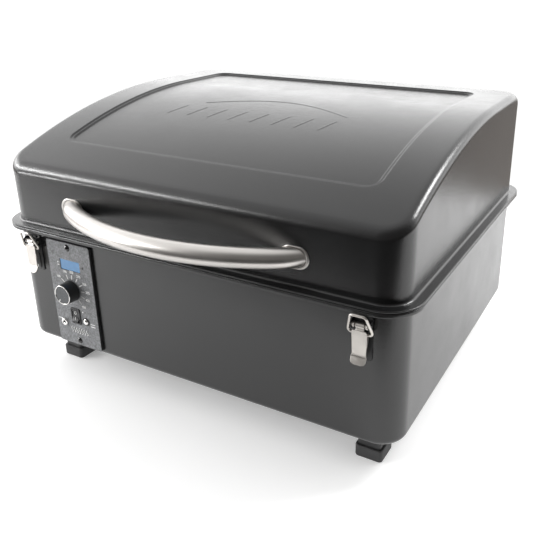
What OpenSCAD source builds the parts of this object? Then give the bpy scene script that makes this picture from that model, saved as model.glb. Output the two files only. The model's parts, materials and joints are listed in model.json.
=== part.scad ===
// Portable pellet smoker grill: a sheet-steel tub on four legs, a domed lid on rear hinges,
// a pellet hopper with an auger on the left and a cooking chamber with a fire pot on the right.
// X runs across, -Y is the front with the handle and the controls, +Z is up, the feet stand on Z = 0.

/* [Body] */
// Width of the tub and the lid, outside the walls
body_w = 484; // [470:1:500]
// Depth of the tub and the lid, outside the walls
body_d = 400.5; // [395:0.5:410]
// Radius of the upright corners
corner_r = 27; // [22:1:32]
// Height of the tub's underside above the ground
tub_z = 40; // [36:1:44]
// Height of the tub's rim
rim_z = 184.7; // [180:0.1:190]
// How far the rim stands out past the walls
rim_out = 10.5; // [8:0.5:12]
// Depth of the rim's turned-down lip
lip_h = 4.2; // [3.5:0.1:6]
// Radius of the tub's bottom edges
tub_edge_r = 7; // [5:0.5:9]
// Thickness of the body's sheet steel
sheet = 1.5; // [1.2:0.1:1.8]

/* [Lid] */
// Gap between the tub's rim and the lid's flange
seam = 0.5; // [0.4:0.1:1]
// Thickness of the lid's flange
flange_t = 1.8; // [1.5:0.1:2.5]
// Height of the crown above the ground
crown_z = 313; // [305:1:320]
// Radius of the crown's curve, seen from the side
crown_r = 640; // [600:10:700]
// Place of the crown's highest line, behind the middle of the body
crown_y = 70; // [60:1:80]
// Radius of the lid's front shoulder
front_r = 9; // [6:1:12]
// Radius of the lid's rear shoulder
rear_r = 14; // [10:1:18]
// Depth of the sunken panel in the crown
panel_drop = 3; // [2:0.5:4]
// Width of the sunken panel
panel_w = 384; // [370:2:400]
// Front edge of the sunken panel
panel_front = -148; // [-155:1:-140]
// Rear edge of the sunken panel
panel_rear = 155; // [150:1:165]
// Corner radius of the sunken panel
panel_r = 13; // [8:1:20]

/* [Handle] */
// Diameter of the handle's tube
handle_d = 19.5; // [17:0.5:22]
// Radius of the handle's long bow
bow_r = 260; // [250:5:290]
// Half of the angle that the bow spans
bow_angle = 28; // [26:1:30]
// Radius of the tighter bends at the handle's ends
bend_r = 62; // [50:1:75]
// How far from square the tube's ends meet the lid
end_angle = 44; // [35:1:50]
// Height of the handle's centre line
handle_z = 215.5; // [210:0.5:225]

/* [Latches] */
// Distance of each latch from the middle of the body
latch_x = 206; // [204:1:207]
// Height of the lever's pivot
latch_z = 167; // [165:0.5:168]
// Width of a lever
lever_w = 15; // [14:0.5:16]

/* [Legs] */
// Distance of a leg from the middle, across
leg_x = 203; // [195:1:210]
// Distance of a leg from the middle, front to back
leg_y = 160; // [150:1:165]
// Side of a square leg
leg_w = 25; // [22:1:26]
// Side of a rubber foot
foot_w = 29.5; // [28:0.5:34]
// Height of a rubber foot
foot_h = 13.5; // [11:0.5:16]

/* [Controls] */
// Middle of the faceplate, across
face_x = -151.25; // [-153:0.25:-150]
// Width of the faceplate
face_w = 65.5; // [62:0.5:68]
// Lower edge of the faceplate
face_z0 = 45.6; // [45:0.2:48]
// Upper edge of the faceplate
face_z1 = 174.4; // [172:0.2:176]
// How far the faceplate stands off the wall
face_out = 3.5; // [3:0.5:4]
// Diameter of the temperature knob
knob_d = 24.5; // [22:0.5:26]
// How far the knob stands off the faceplate
knob_out = 15; // [13:0.5:16]

/* [Cooking chamber] */
// Place of the wall between the hopper side and the chamber
divider_x = -105; // [-106:0.5:-104]
// Middle of the fire pot, across
pot_x = 60; // [50:1:70]
// Outer radius of the fire pot
pot_r = 36; // [34:1:38]
// Height of the ledge that carries the grate
grate_z = 168; // [164:1:170]
// Number of bars in the grate
grate_bars = 23; // [17:1:27]

/* [Auger and fan] */
// Height of the auger's axis
auger_z = 75; // [74:0.5:76]
// Outer radius of the auger tube
auger_r = 19; // [18:0.5:19.5]
// Length of one turn of the auger's screw
auger_pitch = 28; // [24:1:34]
// Middle of the fan, front to back
fan_y = 125; // [120:1:128]
// Height of the fan's axis
fan_z = 88; // [86:1:90]
// Number of blades on the fan wheel
fan_blades = 16; // [10:1:20]

/* [Hidden] */
$fn = 96;
eps = 0.01;

front = -body_d / 2;
rear = body_d / 2;
side = body_w / 2;
floor_z = tub_z + sheet;
lid_z = rim_z + seam;

// Rear hinges: a pin behind the rim, at the height of the seam
knuckle_r = 4;
hinge_pin_r = 2;
hinge_y = rear + rim_out + 0.5 + knuckle_r;
hinge_z = rim_z + seam / 2;
hinge_x = 150;
hinge_w = 50;
knuckle_w = 16.7;
leaf = 1.5;

// Handle: the bow's centre, and where the bent ends meet the lid
handle_r = handle_d / 2;
bend_x = (bow_r - bend_r) * sin(bow_angle);
bend_y = front + bend_r * sin(end_angle);
handle_end_x = bend_x + bend_r * cos(end_angle);
handle_bolt_x = handle_end_x - 4;
bow_y = bend_y + (bow_r - bend_r) * cos(bow_angle);
handle_front = bow_y - bow_r - handle_r;

// The body sits so that the whole object's box is centred on the origin
body_y = -(handle_front + hinge_y + knuckle_r) / 2;

// Faceplate and what is on it
face_y = front - face_out;
knob_x = -152.4;
knob_z = 116.6;
switch_x = -152;
switch_z = 84;
button_x = -137;
button_z = 80;
jack_x = -171.4;
jack_z = 72.4;
screw_x = -152;
screw_zs = [51.9, 168.3];
window_x = -151;
window_z = 147.1;
window_w = 30;
window_h = 12.8;
light_x = -132;
light_z = 148;
board_y = front + 20;

// Latches: backing plate, pivot of the lever, pivot of the wire bail on the lever, and the bail's lean
plate_t = 1.2;
pivot_y = front - 5.25;
bail_y = front - 5.65;
bail_z = latch_z - 7.5;
bail_lean = 18;
bail_len = 21.2;
wire_r = 1.25;

// Interior
chamber_x0 = divider_x + 9;
chamber_x1 = side - 10;
grate_mid = (chamber_x0 + chamber_x1) / 2;
tray_z = 136;
tray_h = 12;
hopper_top = rim_z - 1.7;
hopper_x0 = -233;
hopper_x1 = divider_x - 3;
hopper_y0 = -135;
hopper_y1 = 190;
outlet_x = -176;
outlet_w = 38;
hopper_pin_x = hopper_x0 + 5;
hopper_pin_z = hopper_top + 3.4;
auger_x0 = -198;
auger_x1 = pot_x - pot_r + 7;
gearbox_x0 = -226;
fan_r = 34;
fan_w = 32;
igniter_z = 50.5;
inlet_x = -175;
inlet_z = 75;
probe_y = -150;
probe_z = 158;

// ---------- shared shapes ----------

// Places everything in the object's own frame
module placed() {
  translate([0, body_y, 0]) children();
}

// Flat rectangle with round corners, centred
module round_rect(w, d, r) {
  square([w - 2 * r, d], center = true);
  square([w, d - 2 * r], center = true);
  for (sx = [-1, 1], sy = [-1, 1]) {
    translate([sx * (w / 2 - r), sy * (d / 2 - r)]) circle(r);
  }
}

// Upright slab with round corners from z0 to z1
module slab(w, d, r, z0, z1) {
  translate([0, 0, z0]) linear_extrude(z1 - z0) round_rect(w, d, r);
}

// Box given by its two opposite corners
module block(a, b) {
  translate(a) cube(b - a);
}

// Cylinder along X, from x0 to x1
module rod_x(r, x0, x1, y, z) {
  translate([x0, y, z]) rotate([0, 90, 0]) cylinder(r = r, h = x1 - x0);
}

// Cylinder along Y, from y0 to y1
module rod_y(r, y0, y1, x, z) {
  translate([x, y0, z]) rotate([-90, 0, 0]) cylinder(r = r, h = y1 - y0);
}

// Cylinder along Z, from z0 to z1
module rod_z(r, z0, z1, x, y) {
  translate([x, y, z0]) cylinder(r = r, h = z1 - z0);
}

// Extrudes an outline drawn in Y and Z along X, centred
module along_x(w) {
  rotate([90, 0, 90]) translate([0, 0, -w / 2]) linear_extrude(w) children();
}

// Extrudes an outline drawn in X and Z along Y, from y0 to y1
module along_y(y0, y1) {
  translate([0, y1, 0]) rotate([90, 0, 0]) linear_extrude(y1 - y0) children();
}

// Screw with a domed head at the origin, its shank running along +Z
module pan_screw(head_r, head_h, shank_r, shank_len) {
  ball_r = (head_r * head_r + head_h * head_h) / (2 * head_h);
  rotate_extrude() {
    intersection() {
      translate([0, ball_r - head_h]) circle(ball_r);
      translate([0, -head_h]) square([head_r, head_h]);
    }
    square([shank_r, shank_len]);
  }
}

// ---------- tub ----------

// Outline of the tub from one side, with round bottom corners
module tub_outline(w, t) {
  r = tub_edge_r - t;
  hw = w / 2 - t;
  z0 = tub_z + t;
  translate([-hw, z0 + r]) square([2 * hw, rim_z - z0 - r + (t > 0 ? 5 : 0)]);
  translate([-hw + r, z0]) square([2 * (hw - r), r + 1]);
  for (s = [-1, 1]) translate([s * (hw - r), z0 + r]) circle(r);
}

// The tub's outer shape set inwards by t
module tub_form(t) {
  intersection() {
    slab(body_w - 2 * t, body_d - 2 * t, corner_r - t, tub_z - 1, rim_z + 10);
    along_x(body_w + 10) tub_outline(body_d, t);
    along_y(front - 5, rear + 5) tub_outline(body_w, t);
  }
}

// The rim: a flat flange with a turned-down lip
module tub_rim() {
  w = body_w + 2 * rim_out;
  d = body_d + 2 * rim_out;
  r = corner_r + rim_out;
  difference() {
    slab(w, d, r, rim_z - lip_h, rim_z);
    slab(w - 2 * sheet, d - 2 * sheet, r - sheet, rim_z - lip_h - 1, rim_z - sheet);
  }
  difference() {
    slab(w - 1, d - 1, r - 0.5, rim_z - sheet, rim_z);
    slab(body_w - 2 * sheet, body_d - 2 * sheet, corner_r - sheet, rim_z - 5, rim_z + 1);
  }
}

module base_tub() placed() color("#2b2c2e") {
  difference() {
    union() {
      tub_form(0);
      tub_rim();
    }
    tub_form(sheet);
    // Opening behind the faceplate
    block([face_x - 27, front - 2, 58], [face_x + 27, front + 3, 163]);
    for (z = screw_zs) rod_y(1.6, front - 2, front + 3, screw_x, z);
    // Opening for the power inlet
    block([inlet_x - 14.5, rear - 3, inlet_z - 11], [inlet_x + 14.5, rear + 2, inlet_z + 11]);
    // Air slots under the fan
    for (i = [0 : 6]) {
      block([-160 + 8 * i, fan_y - 25, tub_z - 1], [-156 + 8 * i, fan_y + 25, floor_z + 1]);
    }
    for (sx = [-1, 1], sy = [-1, 1]) {
      rod_z(2.6, tub_z - 1, floor_z + 1, sx * leg_x, sy * leg_y);
    }
    for (s = [-1, 1], z = [latch_z - 31, latch_z - 19]) {
      rod_y(1.6, front - 2, front + 3, s * latch_x, z);
    }
    for (s = [-1, 1], dx = [-15, 15]) {
      rod_y(1.6, rear - 3, rear + 2, s * hinge_x + dx, rim_z - 20);
    }
  }
}

module legs() placed() color("#232425") {
  for (sx = [-1, 1], sy = [-1, 1]) translate([sx * leg_x, sy * leg_y, 0]) {
    difference() {
      slab(leg_w, leg_w, 3, 6, tub_z);
      slab(leg_w - 3, leg_w - 3, 1.5, 5, tub_z - 2.5);
      rod_z(2.6, tub_z - 5, tub_z + 1, 0, 0);
    }
  }
}

module foot_pads() placed() color("#1d1d1e") {
  for (sx = [-1, 1], sy = [-1, 1]) translate([sx * leg_x, sy * leg_y, 0]) {
    difference() {
      slab(foot_w, foot_w, 4, 0, foot_h);
      slab(leg_w + 0.2, leg_w + 0.2, 3.1, 6, foot_h + 1);
    }
  }
}

module leg_screws() placed() color("#8d8f92") {
  for (sx = [-1, 1], sy = [-1, 1]) {
    translate([sx * leg_x, sy * leg_y, floor_z]) rotate([180, 0, 0]) {
      pan_screw(5, 2.6, 2.5, 12);
    }
  }
}

module divider_wall() placed() color("#3a3b3d") {
  difference() {
    intersection() {
      block([divider_x, front, tub_z], [divider_x + 1.2, rear, rim_z - 3]);
      tub_form(sheet + 0.2);
    }
    rod_x(auger_r + 0.2, divider_x - 1, divider_x + 3, 0, auger_z);
    rod_x(15, divider_x - 1, divider_x + 3, fan_y, fan_z);
    rod_x(4.4, divider_x - 1, divider_x + 3, 0, igniter_z);
    rod_x(3.2, divider_x - 1, divider_x + 3, probe_y, probe_z);
  }
}

// ---------- hopper ----------

// Funnel outline: straight sides that slope in to the outlet
module funnel_outline(a, b, knee, c, half, t) {
  neck_z = auger_z + auger_r - 8;
  polygon([
    [a + t, hopper_top + (t > 0 ? 5 : 0)], [a + t, knee], [c - half + t, neck_z + 15],
    [c - half + t, neck_z - (t > 0 ? 5 : 0)], [c + half - t, neck_z - (t > 0 ? 5 : 0)],
    [c + half - t, neck_z + 15], [b - t, knee], [b - t, hopper_top + (t > 0 ? 5 : 0)]
  ]);
}

module funnel(t) {
  intersection() {
    along_y(hopper_y0 - 5, hopper_y1 + 5) {
      funnel_outline(hopper_x0, hopper_x1, 150, outlet_x, outlet_w / 2, t);
    }
    along_x(600) funnel_outline(hopper_y0, hopper_y1, 165, 0, outlet_w / 2 - 2, t);
  }
}

module hopper_bin() placed() color("#4b4d50") {
  difference() {
    funnel(0);
    funnel(1.2);
    rod_x(auger_r + 0.2, -250, -100, 0, auger_z);
  }
  // Ears that carry the hinge pin of the hopper's lid
  for (y = [-100, 150]) {
    difference() {
      union() {
        block([hopper_x0, y, hopper_top - 12], [hopper_pin_x + 3, y + 4, hopper_pin_z]);
        rod_y(3, y, y + 4, hopper_pin_x, hopper_pin_z);
      }
      rod_y(1.5, y - 1, y + 5, hopper_pin_x, hopper_pin_z);
    }
  }
}

module hopper_lid() placed() color("#55585b") {
  difference() {
    union() {
      block([hopper_pin_x + 6, hopper_y0, hopper_top + 0.6], [hopper_x1 - 2, hopper_y1, hopper_top + 1.8]);
      for (y = [-95.4, 133.4]) {
        rod_y(3, y, y + 16, hopper_pin_x, hopper_pin_z);
        block([hopper_pin_x, y, hopper_pin_z - 2.8], [hopper_pin_x + 7, y + 16, hopper_pin_z - 1.6]);
      }
    }
    for (y = [-96, 133]) rod_y(1.56, y, y + 18, hopper_pin_x, hopper_pin_z);
    rod_z(2.2, hopper_top - 1, hopper_top + 5, hopper_x1 - 20, 27);
  }
}

module hopper_lid_knob() placed() color("#1c1c1d") {
  translate([hopper_x1 - 20, 27, hopper_top]) rotate_extrude() {
    square([2.2, 6]);
    translate([0, -1.6]) square([4.5, 2.2]);
    translate([0, 1.8]) square([4, 4]);
    translate([0, 5]) square([9, 6]);
  }
}

module hopper_hinge_pin() placed() color("#9b9da0") {
  rod_y(1.5, -100.5, 154.5, hopper_pin_x, hopper_pin_z);
}

// ---------- controls ----------

module control_faceplate() placed() color("#595b5e") {
  mid_z = (face_z0 + face_z1) / 2;
  difference() {
    along_y(face_y, front) translate([face_x, mid_z]) round_rect(face_w, face_z1 - face_z0, 2.5);
    along_y(face_y + 1.6, front + 1) {
      translate([face_x, mid_z]) round_rect(face_w - 4, 106, 1.5);
    }
    block([window_x - window_w / 2, face_y - 1, window_z - window_h / 2],
          [window_x + window_w / 2, front, window_z + window_h / 2]);
    for (z = screw_zs) rod_y(1.6, face_y - 1, front + 1, screw_x, z);
    rod_y(1.3, face_y - 1, front, light_x, light_z);
    rod_y(4.7, face_y - 1, front, knob_x, knob_z);
    rod_y(3.1, face_y - 1, front, jack_x, jack_z);
    rod_y(3.9, face_y - 1, front, button_x, button_z);
    block([switch_x - 6.3, face_y - 1, switch_z - 9.3], [switch_x + 6.3, front, switch_z + 9.3]);
  }
}

module panel_screws() placed() color("#1a1a1b") {
  for (z = screw_zs) translate([screw_x, face_y, z]) rotate([-90, 0, 0]) {
    pan_screw(3.5, 2.2, 1.5, 9);
  }
}

module controller_case() placed() color("#202122") {
  difference() {
    block([face_x - 25.5, front + 0.2, 59.5], [face_x + 25.5, front + 48, 161.5]);
    block([face_x - 23.5, front - 1, 61.5], [face_x + 23.5, front + 46, 159.5]);
  }
}

module controller_board() placed() color("#1f5c3a") {
  block([face_x - 23, board_y, 62], [face_x + 23, board_y + 1.6, 159]);
}

module display_module() placed() color("#31506a") {
  block([window_x - 16.5, front - 1.4, window_z - 8], [window_x + 16.5, board_y - 0.02, window_z + 8]);
}

module display_window() placed() color("#6f9bbd") {
  block([window_x - window_w / 2 + 0.1, face_y + 0.6, window_z - window_h / 2 + 0.1],
        [window_x + window_w / 2 - 0.1, face_y + 1.9, window_z + window_h / 2 - 0.1]);
}

module status_light() placed() color("#151516") {
  rod_y(1.2, face_y - 0.4, board_y, light_x, light_z);
}

module dial_encoder() placed() color("#a7a9ac") {
  difference() {
    union() {
      block([knob_x - 8, board_y - 13, knob_z - 8], [knob_x + 8, board_y - 0.02, knob_z + 8]);
      rod_y(4.5, face_y - 3, board_y - 12, knob_x, knob_z);
    }
    rod_y(3.05, face_y - 5, board_y - 4, knob_x, knob_z);
  }
}

module knob_shaft() placed() color("#c9cbce") {
  rod_y(3, face_y - knob_out + 4, board_y - 6, knob_x, knob_z);
}

module knob_body() placed() color("#161617") {
  difference() {
    union() {
      rod_y(knob_d / 2, face_y - 4, face_y - 0.6, knob_x, knob_z);
      rod_y(knob_d / 2 - 0.6, face_y - knob_out + 0.8, face_y - 3, knob_x, knob_z);
      for (a = [0 : 15 : 345]) {
        translate([knob_x, 0, knob_z]) rotate([0, a, 0]) {
          block([knob_d / 2 - 2, face_y - knob_out + 2, -0.7], [knob_d / 2 - 0.2, face_y - 2, 0.7]);
        }
      }
    }
    rod_y(6.5, face_y - 4.6, face_y, knob_x, knob_z);
    rod_y(3, face_y - knob_out + 4, face_y, knob_x, knob_z);
  }
}

module knob_cap() placed() color("#85878a") {
  rod_y(10.6, face_y - knob_out, face_y - knob_out + 0.8, knob_x, knob_z);
}

module switch_bezel() placed() color("#141415") {
  difference() {
    union() {
      along_y(face_y - 1.4, face_y) translate([switch_x, switch_z]) round_rect(14, 20, 1.5);
      block([switch_x - 6.2, face_y - 0.5, switch_z - 9.2], [switch_x + 6.2, board_y - 3, switch_z + 9.2]);
    }
    block([switch_x - 5, face_y - 3, switch_z - 8.2], [switch_x + 5, board_y - 5, switch_z + 8.2]);
    rod_x(1, switch_x - 6, switch_x + 6, face_y + 4, switch_z);
  }
}

module switch_rocker() placed() color("#19191a") {
  translate([switch_x, face_y + 4, switch_z]) rotate([-8, 0, 0]) {
    along_x(9.4) polygon([[-6, -7], [-4.6, 0], [-6, 7], [0, 6], [3, 0], [0, -6]]);
    rod_x(0.95, -5.9, 5.9, 0, 0);
  }
}

module probe_jack() placed() color("#c2c4c7") {
  difference() {
    union() {
      rod_y(4.5, face_y - 2.2, face_y, jack_x, jack_z);
      rod_y(3, face_y - 0.5, board_y, jack_x, jack_z);
    }
    rod_y(1.8, face_y - 3, face_y + 13, jack_x, jack_z);
  }
}

module prime_switch() placed() color("#252627") {
  block([button_x - 3, face_y + 9, button_z - 3], [button_x + 3, board_y - 0.02, button_z + 3]);
}

module prime_button() placed() color("#d7d9db") {
  rod_y(3.6, face_y - 2.4, face_y + 3, button_x, button_z);
  rod_y(4.8, face_y + 2, face_y + 3, button_x, button_z);
  rod_y(1.5, face_y + 2.5, face_y + 6.6, button_x, button_z);
}

// ---------- auger, fan and fire ----------

module auger_tube() placed() color("#77797c") {
  difference() {
    rod_x(auger_r, auger_x0, auger_x1, 0, auger_z);
    rod_x(auger_r - 1.5, auger_x0 - 1, auger_x1 + 1, 0, auger_z);
    block([outlet_x - 17, -15, auger_z], [outlet_x + 17, 15, auger_z + 30]);
  }
}

module auger_bush() placed() color("#b9a36a") {
  difference() {
    rod_x(auger_r - 1.5, auger_x0, auger_x0 + 4, 0, auger_z);
    rod_x(5.06, auger_x0 - 1, auger_x0 + 8, 0, auger_z);
  }
}

module auger_shaft() placed() color("#8f9194") {
  rod_x(5, auger_x0 - 14, auger_x1 - 5, 0, auger_z);
}

// Corners of the screw flight's section after i steps of 15 degrees, starting at x0
function flight_ring(i, x0, r0, r1) = let (a = i * 15, x = x0 + auger_pitch * i / 24) [
  for (c = [[r0, 0], [r1, 0], [r1, 1.6], [r0, 1.6]]) [x + c[1], c[0] * cos(a), auger_z + c[0] * sin(a)]
];

// Screw flight: a flat helical band round the shaft
module auger_flight() placed() color("#86888b") {
  x0 = auger_x0 + 6;
  steps = floor((auger_x1 - 8 - x0) / auger_pitch * 24);
  last = 4 * steps;
  points = [for (i = [0 : steps]) each flight_ring(i, x0, 5.03, auger_r - 2.6)];
  sides = [for (i = [0 : steps - 1], k = [0 : 3]) let (a = 4 * i + k, b = 4 * i + (k + 1) % 4) each
    [[a, a + 4, b + 4], [a, b + 4, b]]];
  ends = [[0, 1, 2], [0, 2, 3], [last + 2, last + 1, last], [last + 3, last + 2, last]];
  polyhedron(points = points, faces = concat(sides, ends));
}

module auger_gearmotor() placed() color("#6d6f72") {
  difference() {
    union() {
      block([gearbox_x0, -29, auger_z - 27], [auger_x0 - 2, 29, auger_z + 22]);
      rod_x(15, -239, gearbox_x0 + 1, 13, auger_z - 8);
      rod_x(9, auger_x0 - 4, auger_x0, 0, auger_z);
    }
    rod_x(5.06, auger_x0 - 16, auger_x0 + 1, 0, auger_z);
  }
}

module fan_housing() placed() color("#2f3032") {
  x1 = divider_x - 0.05;
  x0 = x1 - fan_w;
  difference() {
    rod_x(fan_r, x0, x1, fan_y, fan_z);
    rod_x(fan_r - 1.5, x0 + 1.5, x1 - 1.5, fan_y, fan_z);
    rod_x(20, x0 - 1, x0 + 3, fan_y, fan_z);
    rod_x(14, x1 - 3, x1 + 1, fan_y, fan_z);
  }
}

module fan_impeller() placed() color("#9a9c9f") {
  x0 = divider_x - fan_w + 5;
  for (i = [0 : fan_blades - 1]) translate([0, fan_y, fan_z]) rotate([i * 360 / fan_blades, 0, 0]) {
    block([x0, 17, -0.5], [x0 + 15.5, 28, 0.5]);
  }
  rod_x(29, x0 + 15, x0 + 16.2, fan_y, fan_z);
  rod_x(6, x0 - 1, x0 + 16, fan_y, fan_z);
  rod_x(2, x0 - 28, x0 + 1, fan_y, fan_z);
}

module fan_motor() placed() color("#54565a") {
  x1 = divider_x - fan_w - 0.2;
  difference() {
    union() {
      rod_x(16, x1 - 24, x1 - 1.5, fan_y, fan_z);
      for (a = [90, 210, 330]) translate([0, fan_y, fan_z]) rotate([a, 0, 0]) {
        block([x1 - 3, 10, -3], [x1, 30, 3]);
      }
    }
    rod_x(2.06, x1 - 30, x1 + 1, fan_y, fan_z);
  }
}

module firepot() placed() color("#5c5855") {
  difference() {
    rod_z(pot_r, floor_z, 108, pot_x, 0);
    rod_z(pot_r - 2, floor_z + 2, 109, pot_x, 0);
    rod_x(auger_r + 0.1, pot_x - pot_r - 5, pot_x, 0, auger_z);
    rod_x(4.4, pot_x - pot_r - 5, pot_x, 0, igniter_z);
    for (a = [-120 : 30 : 120]) translate([pot_x, 0, 62]) rotate([0, 90, a]) {
      cylinder(r = 2.5, h = pot_r + 5);
    }
  }
}

module igniter_rod() placed() color("#a9a49a") {
  rod_x(4, divider_x - 22, pot_x - pot_r + 14, 0, igniter_z);
}

module heat_baffle() placed() color("#47494b") {
  block([pot_x - 75, -75, 118], [pot_x + 75, 75, 119.6]);
  for (s = [-1, 1]) {
    block([pot_x - 55, s * 74 - 0.8, floor_z + 1], [pot_x + 55, s * 74 + 0.8, 119]);
    block([pot_x - 55, s * 74 - 8, floor_z], [pot_x + 55, s * 74 + 8, floor_z + 1.6]);
  }
}

module drip_tray() placed() color("#505254") {
  w = chamber_x1 - chamber_x0 - 2;
  difference() {
    translate([grate_mid, 0, 0]) slab(w, 380, 20, tray_z, tray_z + tray_h);
    translate([grate_mid, 0, 0]) slab(w - 3, 377, 18.5, tray_z + 1.5, tray_z + tray_h + 1);
  }
}

// Two long brackets with a ledge for the tray and a ledge for the grate
module support_rails() placed() color("#3f4143") {
  for (s = [-1, 1]) mirror([0, s > 0 ? 0 : 1, 0]) {
    wall = rear - sheet - 0.05;
    block([chamber_x0, wall - 1.5, tray_z - 8], [side - 31, wall, grate_z]);
    block([chamber_x0, wall - 15, tray_z - 1.5], [side - 31, wall - 1, tray_z]);
    block([chamber_x0, wall - 13, grate_z - 1.5], [side - 31, wall - 1, grate_z]);
  }
}

module grill_grate() placed() color("#2c2d2e") {
  w = chamber_x1 - chamber_x0 - 4;
  d = 380;
  translate([grate_mid, 0, 0]) {
    difference() {
      slab(w, d, 18, grate_z + 0.3, grate_z + 6);
      slab(w - 12, d - 12, 12, grate_z - 1, grate_z + 8);
    }
    for (i = [1 : grate_bars]) {
      x = -w / 2 + i * w / (grate_bars + 1);
      block([x - 2.2, -d / 2 + 5, grate_z + 1.5], [x + 2.2, d / 2 - 5, grate_z + 6]);
    }
    for (y = [-d / 4, 0, d / 4]) block([-w / 2 + 5, y - 3, grate_z + 0.3], [w / 2 - 5, y + 3, grate_z + 3]);
  }
}

module temperature_probe() placed() color("#bfc1c4") {
  rod_x(3, divider_x - 14, divider_x + 46, probe_y, probe_z);
  rod_x(6, divider_x + 1.25, divider_x + 4, probe_y, probe_z);
}

module power_inlet() placed() color("#171718") {
  difference() {
    union() {
      along_y(rear, rear + 3) translate([inlet_x, inlet_z]) round_rect(50, 24, 4);
      block([inlet_x - 14, rear - 22, inlet_z - 10.5], [inlet_x + 14, rear + 1, inlet_z + 10.5]);
    }
    block([inlet_x - 12, rear - 14, inlet_z - 8.5], [inlet_x + 12, rear + 5, inlet_z + 8.5]);
  }
  for (dx = [-7, 0, 7]) {
    block([inlet_x + dx - 1, rear - 15, inlet_z - 2 + (dx == 0 ? 3 : 0)],
          [inlet_x + dx + 1, rear - 1, inlet_z + 2 + (dx == 0 ? 3 : 0)]);
  }
}

// ---------- latches ----------

// Puts a latch piece at the left and the right of the front
module both_latches() {
  for (s = [-1, 1]) translate([s * latch_x, 0, 0]) children();
}

module latch_plates() placed() color("#303133") {
  both_latches() {
    difference() {
      union() {
        along_y(front - plate_t, front) translate([0, latch_z - 14]) round_rect(19, 44, 2);
        for (s = [-1, 1]) block([s * 8.95 - 0.55, pivot_y - 2.6, latch_z - 4.6],
                                [s * 8.95 + 0.55, front - 1, latch_z + 4.6]);
      }
      rod_x(1.4, -12, 12, pivot_y, latch_z);
      for (z = [latch_z - 31, latch_z - 19]) rod_y(1.6, front - 3, front + 1, 0, z);
    }
  }
}

module latch_rivets() placed() color("#8b8c8e") {
  both_latches() for (z = [latch_z - 31, latch_z - 19]) {
    translate([0, front - plate_t, z]) rotate([-90, 0, 0]) pan_screw(2.8, 1, 1.6, plate_t + sheet);
  }
}

module latch_pins() placed() color("#a39f97") {
  both_latches() {
    rod_x(1.4, -9.8, 9.8, pivot_y, latch_z);
    for (s = [-1, 1]) rod_x(1.8, s * 9.7 - 0.2, s * 9.7 + 0.2, pivot_y, latch_z);
  }
}

module latch_springs() placed() color("#b3afa8") {
  both_latches() for (s = [-1, 1], i = [0 : 1]) {
    translate([s * (6.3 + 1.3 * i), pivot_y, latch_z]) rotate([0, 90, 0]) {
      rotate_extrude() translate([2.1, 0]) circle(0.6);
    }
  }
}

// Lever: a hanging plate with a turned-out lip, a barrel on the pivot and two cheeks
module latch_lever() {
  color("#b5b1aa") difference() {
    union() {
      along_x(lever_w) polygon([
        [front - 8.4, latch_z - 5.5], [front - 8.4, latch_z - 29], [front - 12.2, latch_z - 36],
        [front - 11, latch_z - 36.4], [front - 7.2, latch_z - 29.6], [front - 7.2, latch_z - 5.5]
      ]);
      along_x(10.4) polygon([
        [front - 8.4, latch_z - 6], [front - 8.4, latch_z - 2], [front - 5.4, latch_z + 2.6],
        [front - 5.4, latch_z - 6]
      ]);
      rod_x(2.8, -5.2, 5.2, pivot_y, latch_z);
      for (s = [-1, 1]) block([s * 6.9 - 0.6, front - 8, latch_z - 20], [s * 6.9 + 0.6, front - 3.6, latch_z - 5.5]);
    }
    rod_x(1.45, -12, 12, pivot_y, latch_z);
    rod_x(wire_r + 0.05, -12, 12, bail_y, bail_z);
  }
}

module latch_lever_left() placed() translate([-latch_x, 0, 0]) latch_lever();
module latch_lever_right() placed() translate([latch_x, 0, 0]) latch_lever();

// Wire bail: two legs that lean out from the lever and narrow to a top bar
module latch_bail() {
  bar = 7.2;
  joint_r = wire_r + 0.05;
  color("#bdb9b2") translate([0, bail_y, bail_z]) rotate([bail_lean, 0, 0]) {
    for (s = [-1, 1]) {
      rod_x(wire_r, min(s * 5.6, s * 12), max(s * 5.6, s * 12), 0, 0);
      translate([s * 12, 0, 0]) {
        sphere(joint_r);
        rod_z(wire_r, 0, 5, 0, 0);
      }
      translate([s * 12, 0, 5]) {
        sphere(joint_r);
        rotate([0, -s * atan((12 - bar) / (bail_len - 5)), 0]) {
          cylinder(r = wire_r, h = norm([12 - bar, bail_len - 5]));
        }
      }
      translate([s * bar, 0, bail_len]) sphere(joint_r);
    }
    rod_x(wire_r, -bar, bar, 0, bail_len);
  }
}

module latch_bail_left() placed() translate([-latch_x, 0, 0]) latch_bail();
module latch_bail_right() placed() translate([latch_x, 0, 0]) latch_bail();

// ---------- hinges ----------

// One hinge leaf: a plate on the wall, a step over the rim and a riser to its knuckles.
// up is 1 for the lid's leaf and -1 for the tub's; knuckles are [x0, x1] pairs
module hinge_leaf(up, knuckles, bore) {
  step = up > 0 ? 4.5 : 6;
  mirror([0, 0, up > 0 ? 0 : 1]) difference() {
    union() {
      block([-hinge_w / 2, rear, step], [hinge_w / 2, rear + leaf, step + 26]);
      block([-hinge_w / 2, rear, step], [hinge_w / 2, hinge_y - knuckle_r + leaf, step + leaf]);
      for (k = knuckles) {
        block([k[0], hinge_y - knuckle_r, 0], [k[1], hinge_y - knuckle_r + leaf, step + 1]);
        rod_x(knuckle_r, k[0], k[1], hinge_y, 0);
      }
    }
    rod_x(bore, -hinge_w, hinge_w, hinge_y, 0);
    for (dx = [-15, 15]) rod_y(1.6, rear - 1, rear + 3, dx, up > 0 ? 20 : 20 + seam / 2);
  }
}

module hinge_leaves_base() placed() color("#3b3c3e") {
  for (s = [-1, 1]) translate([s * hinge_x, 0, hinge_z]) {
    gap = knuckle_w / 2 + 0.3;
    hinge_leaf(-1, [[-hinge_w / 2, -gap], [gap, hinge_w / 2]], hinge_pin_r);
  }
}

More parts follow.
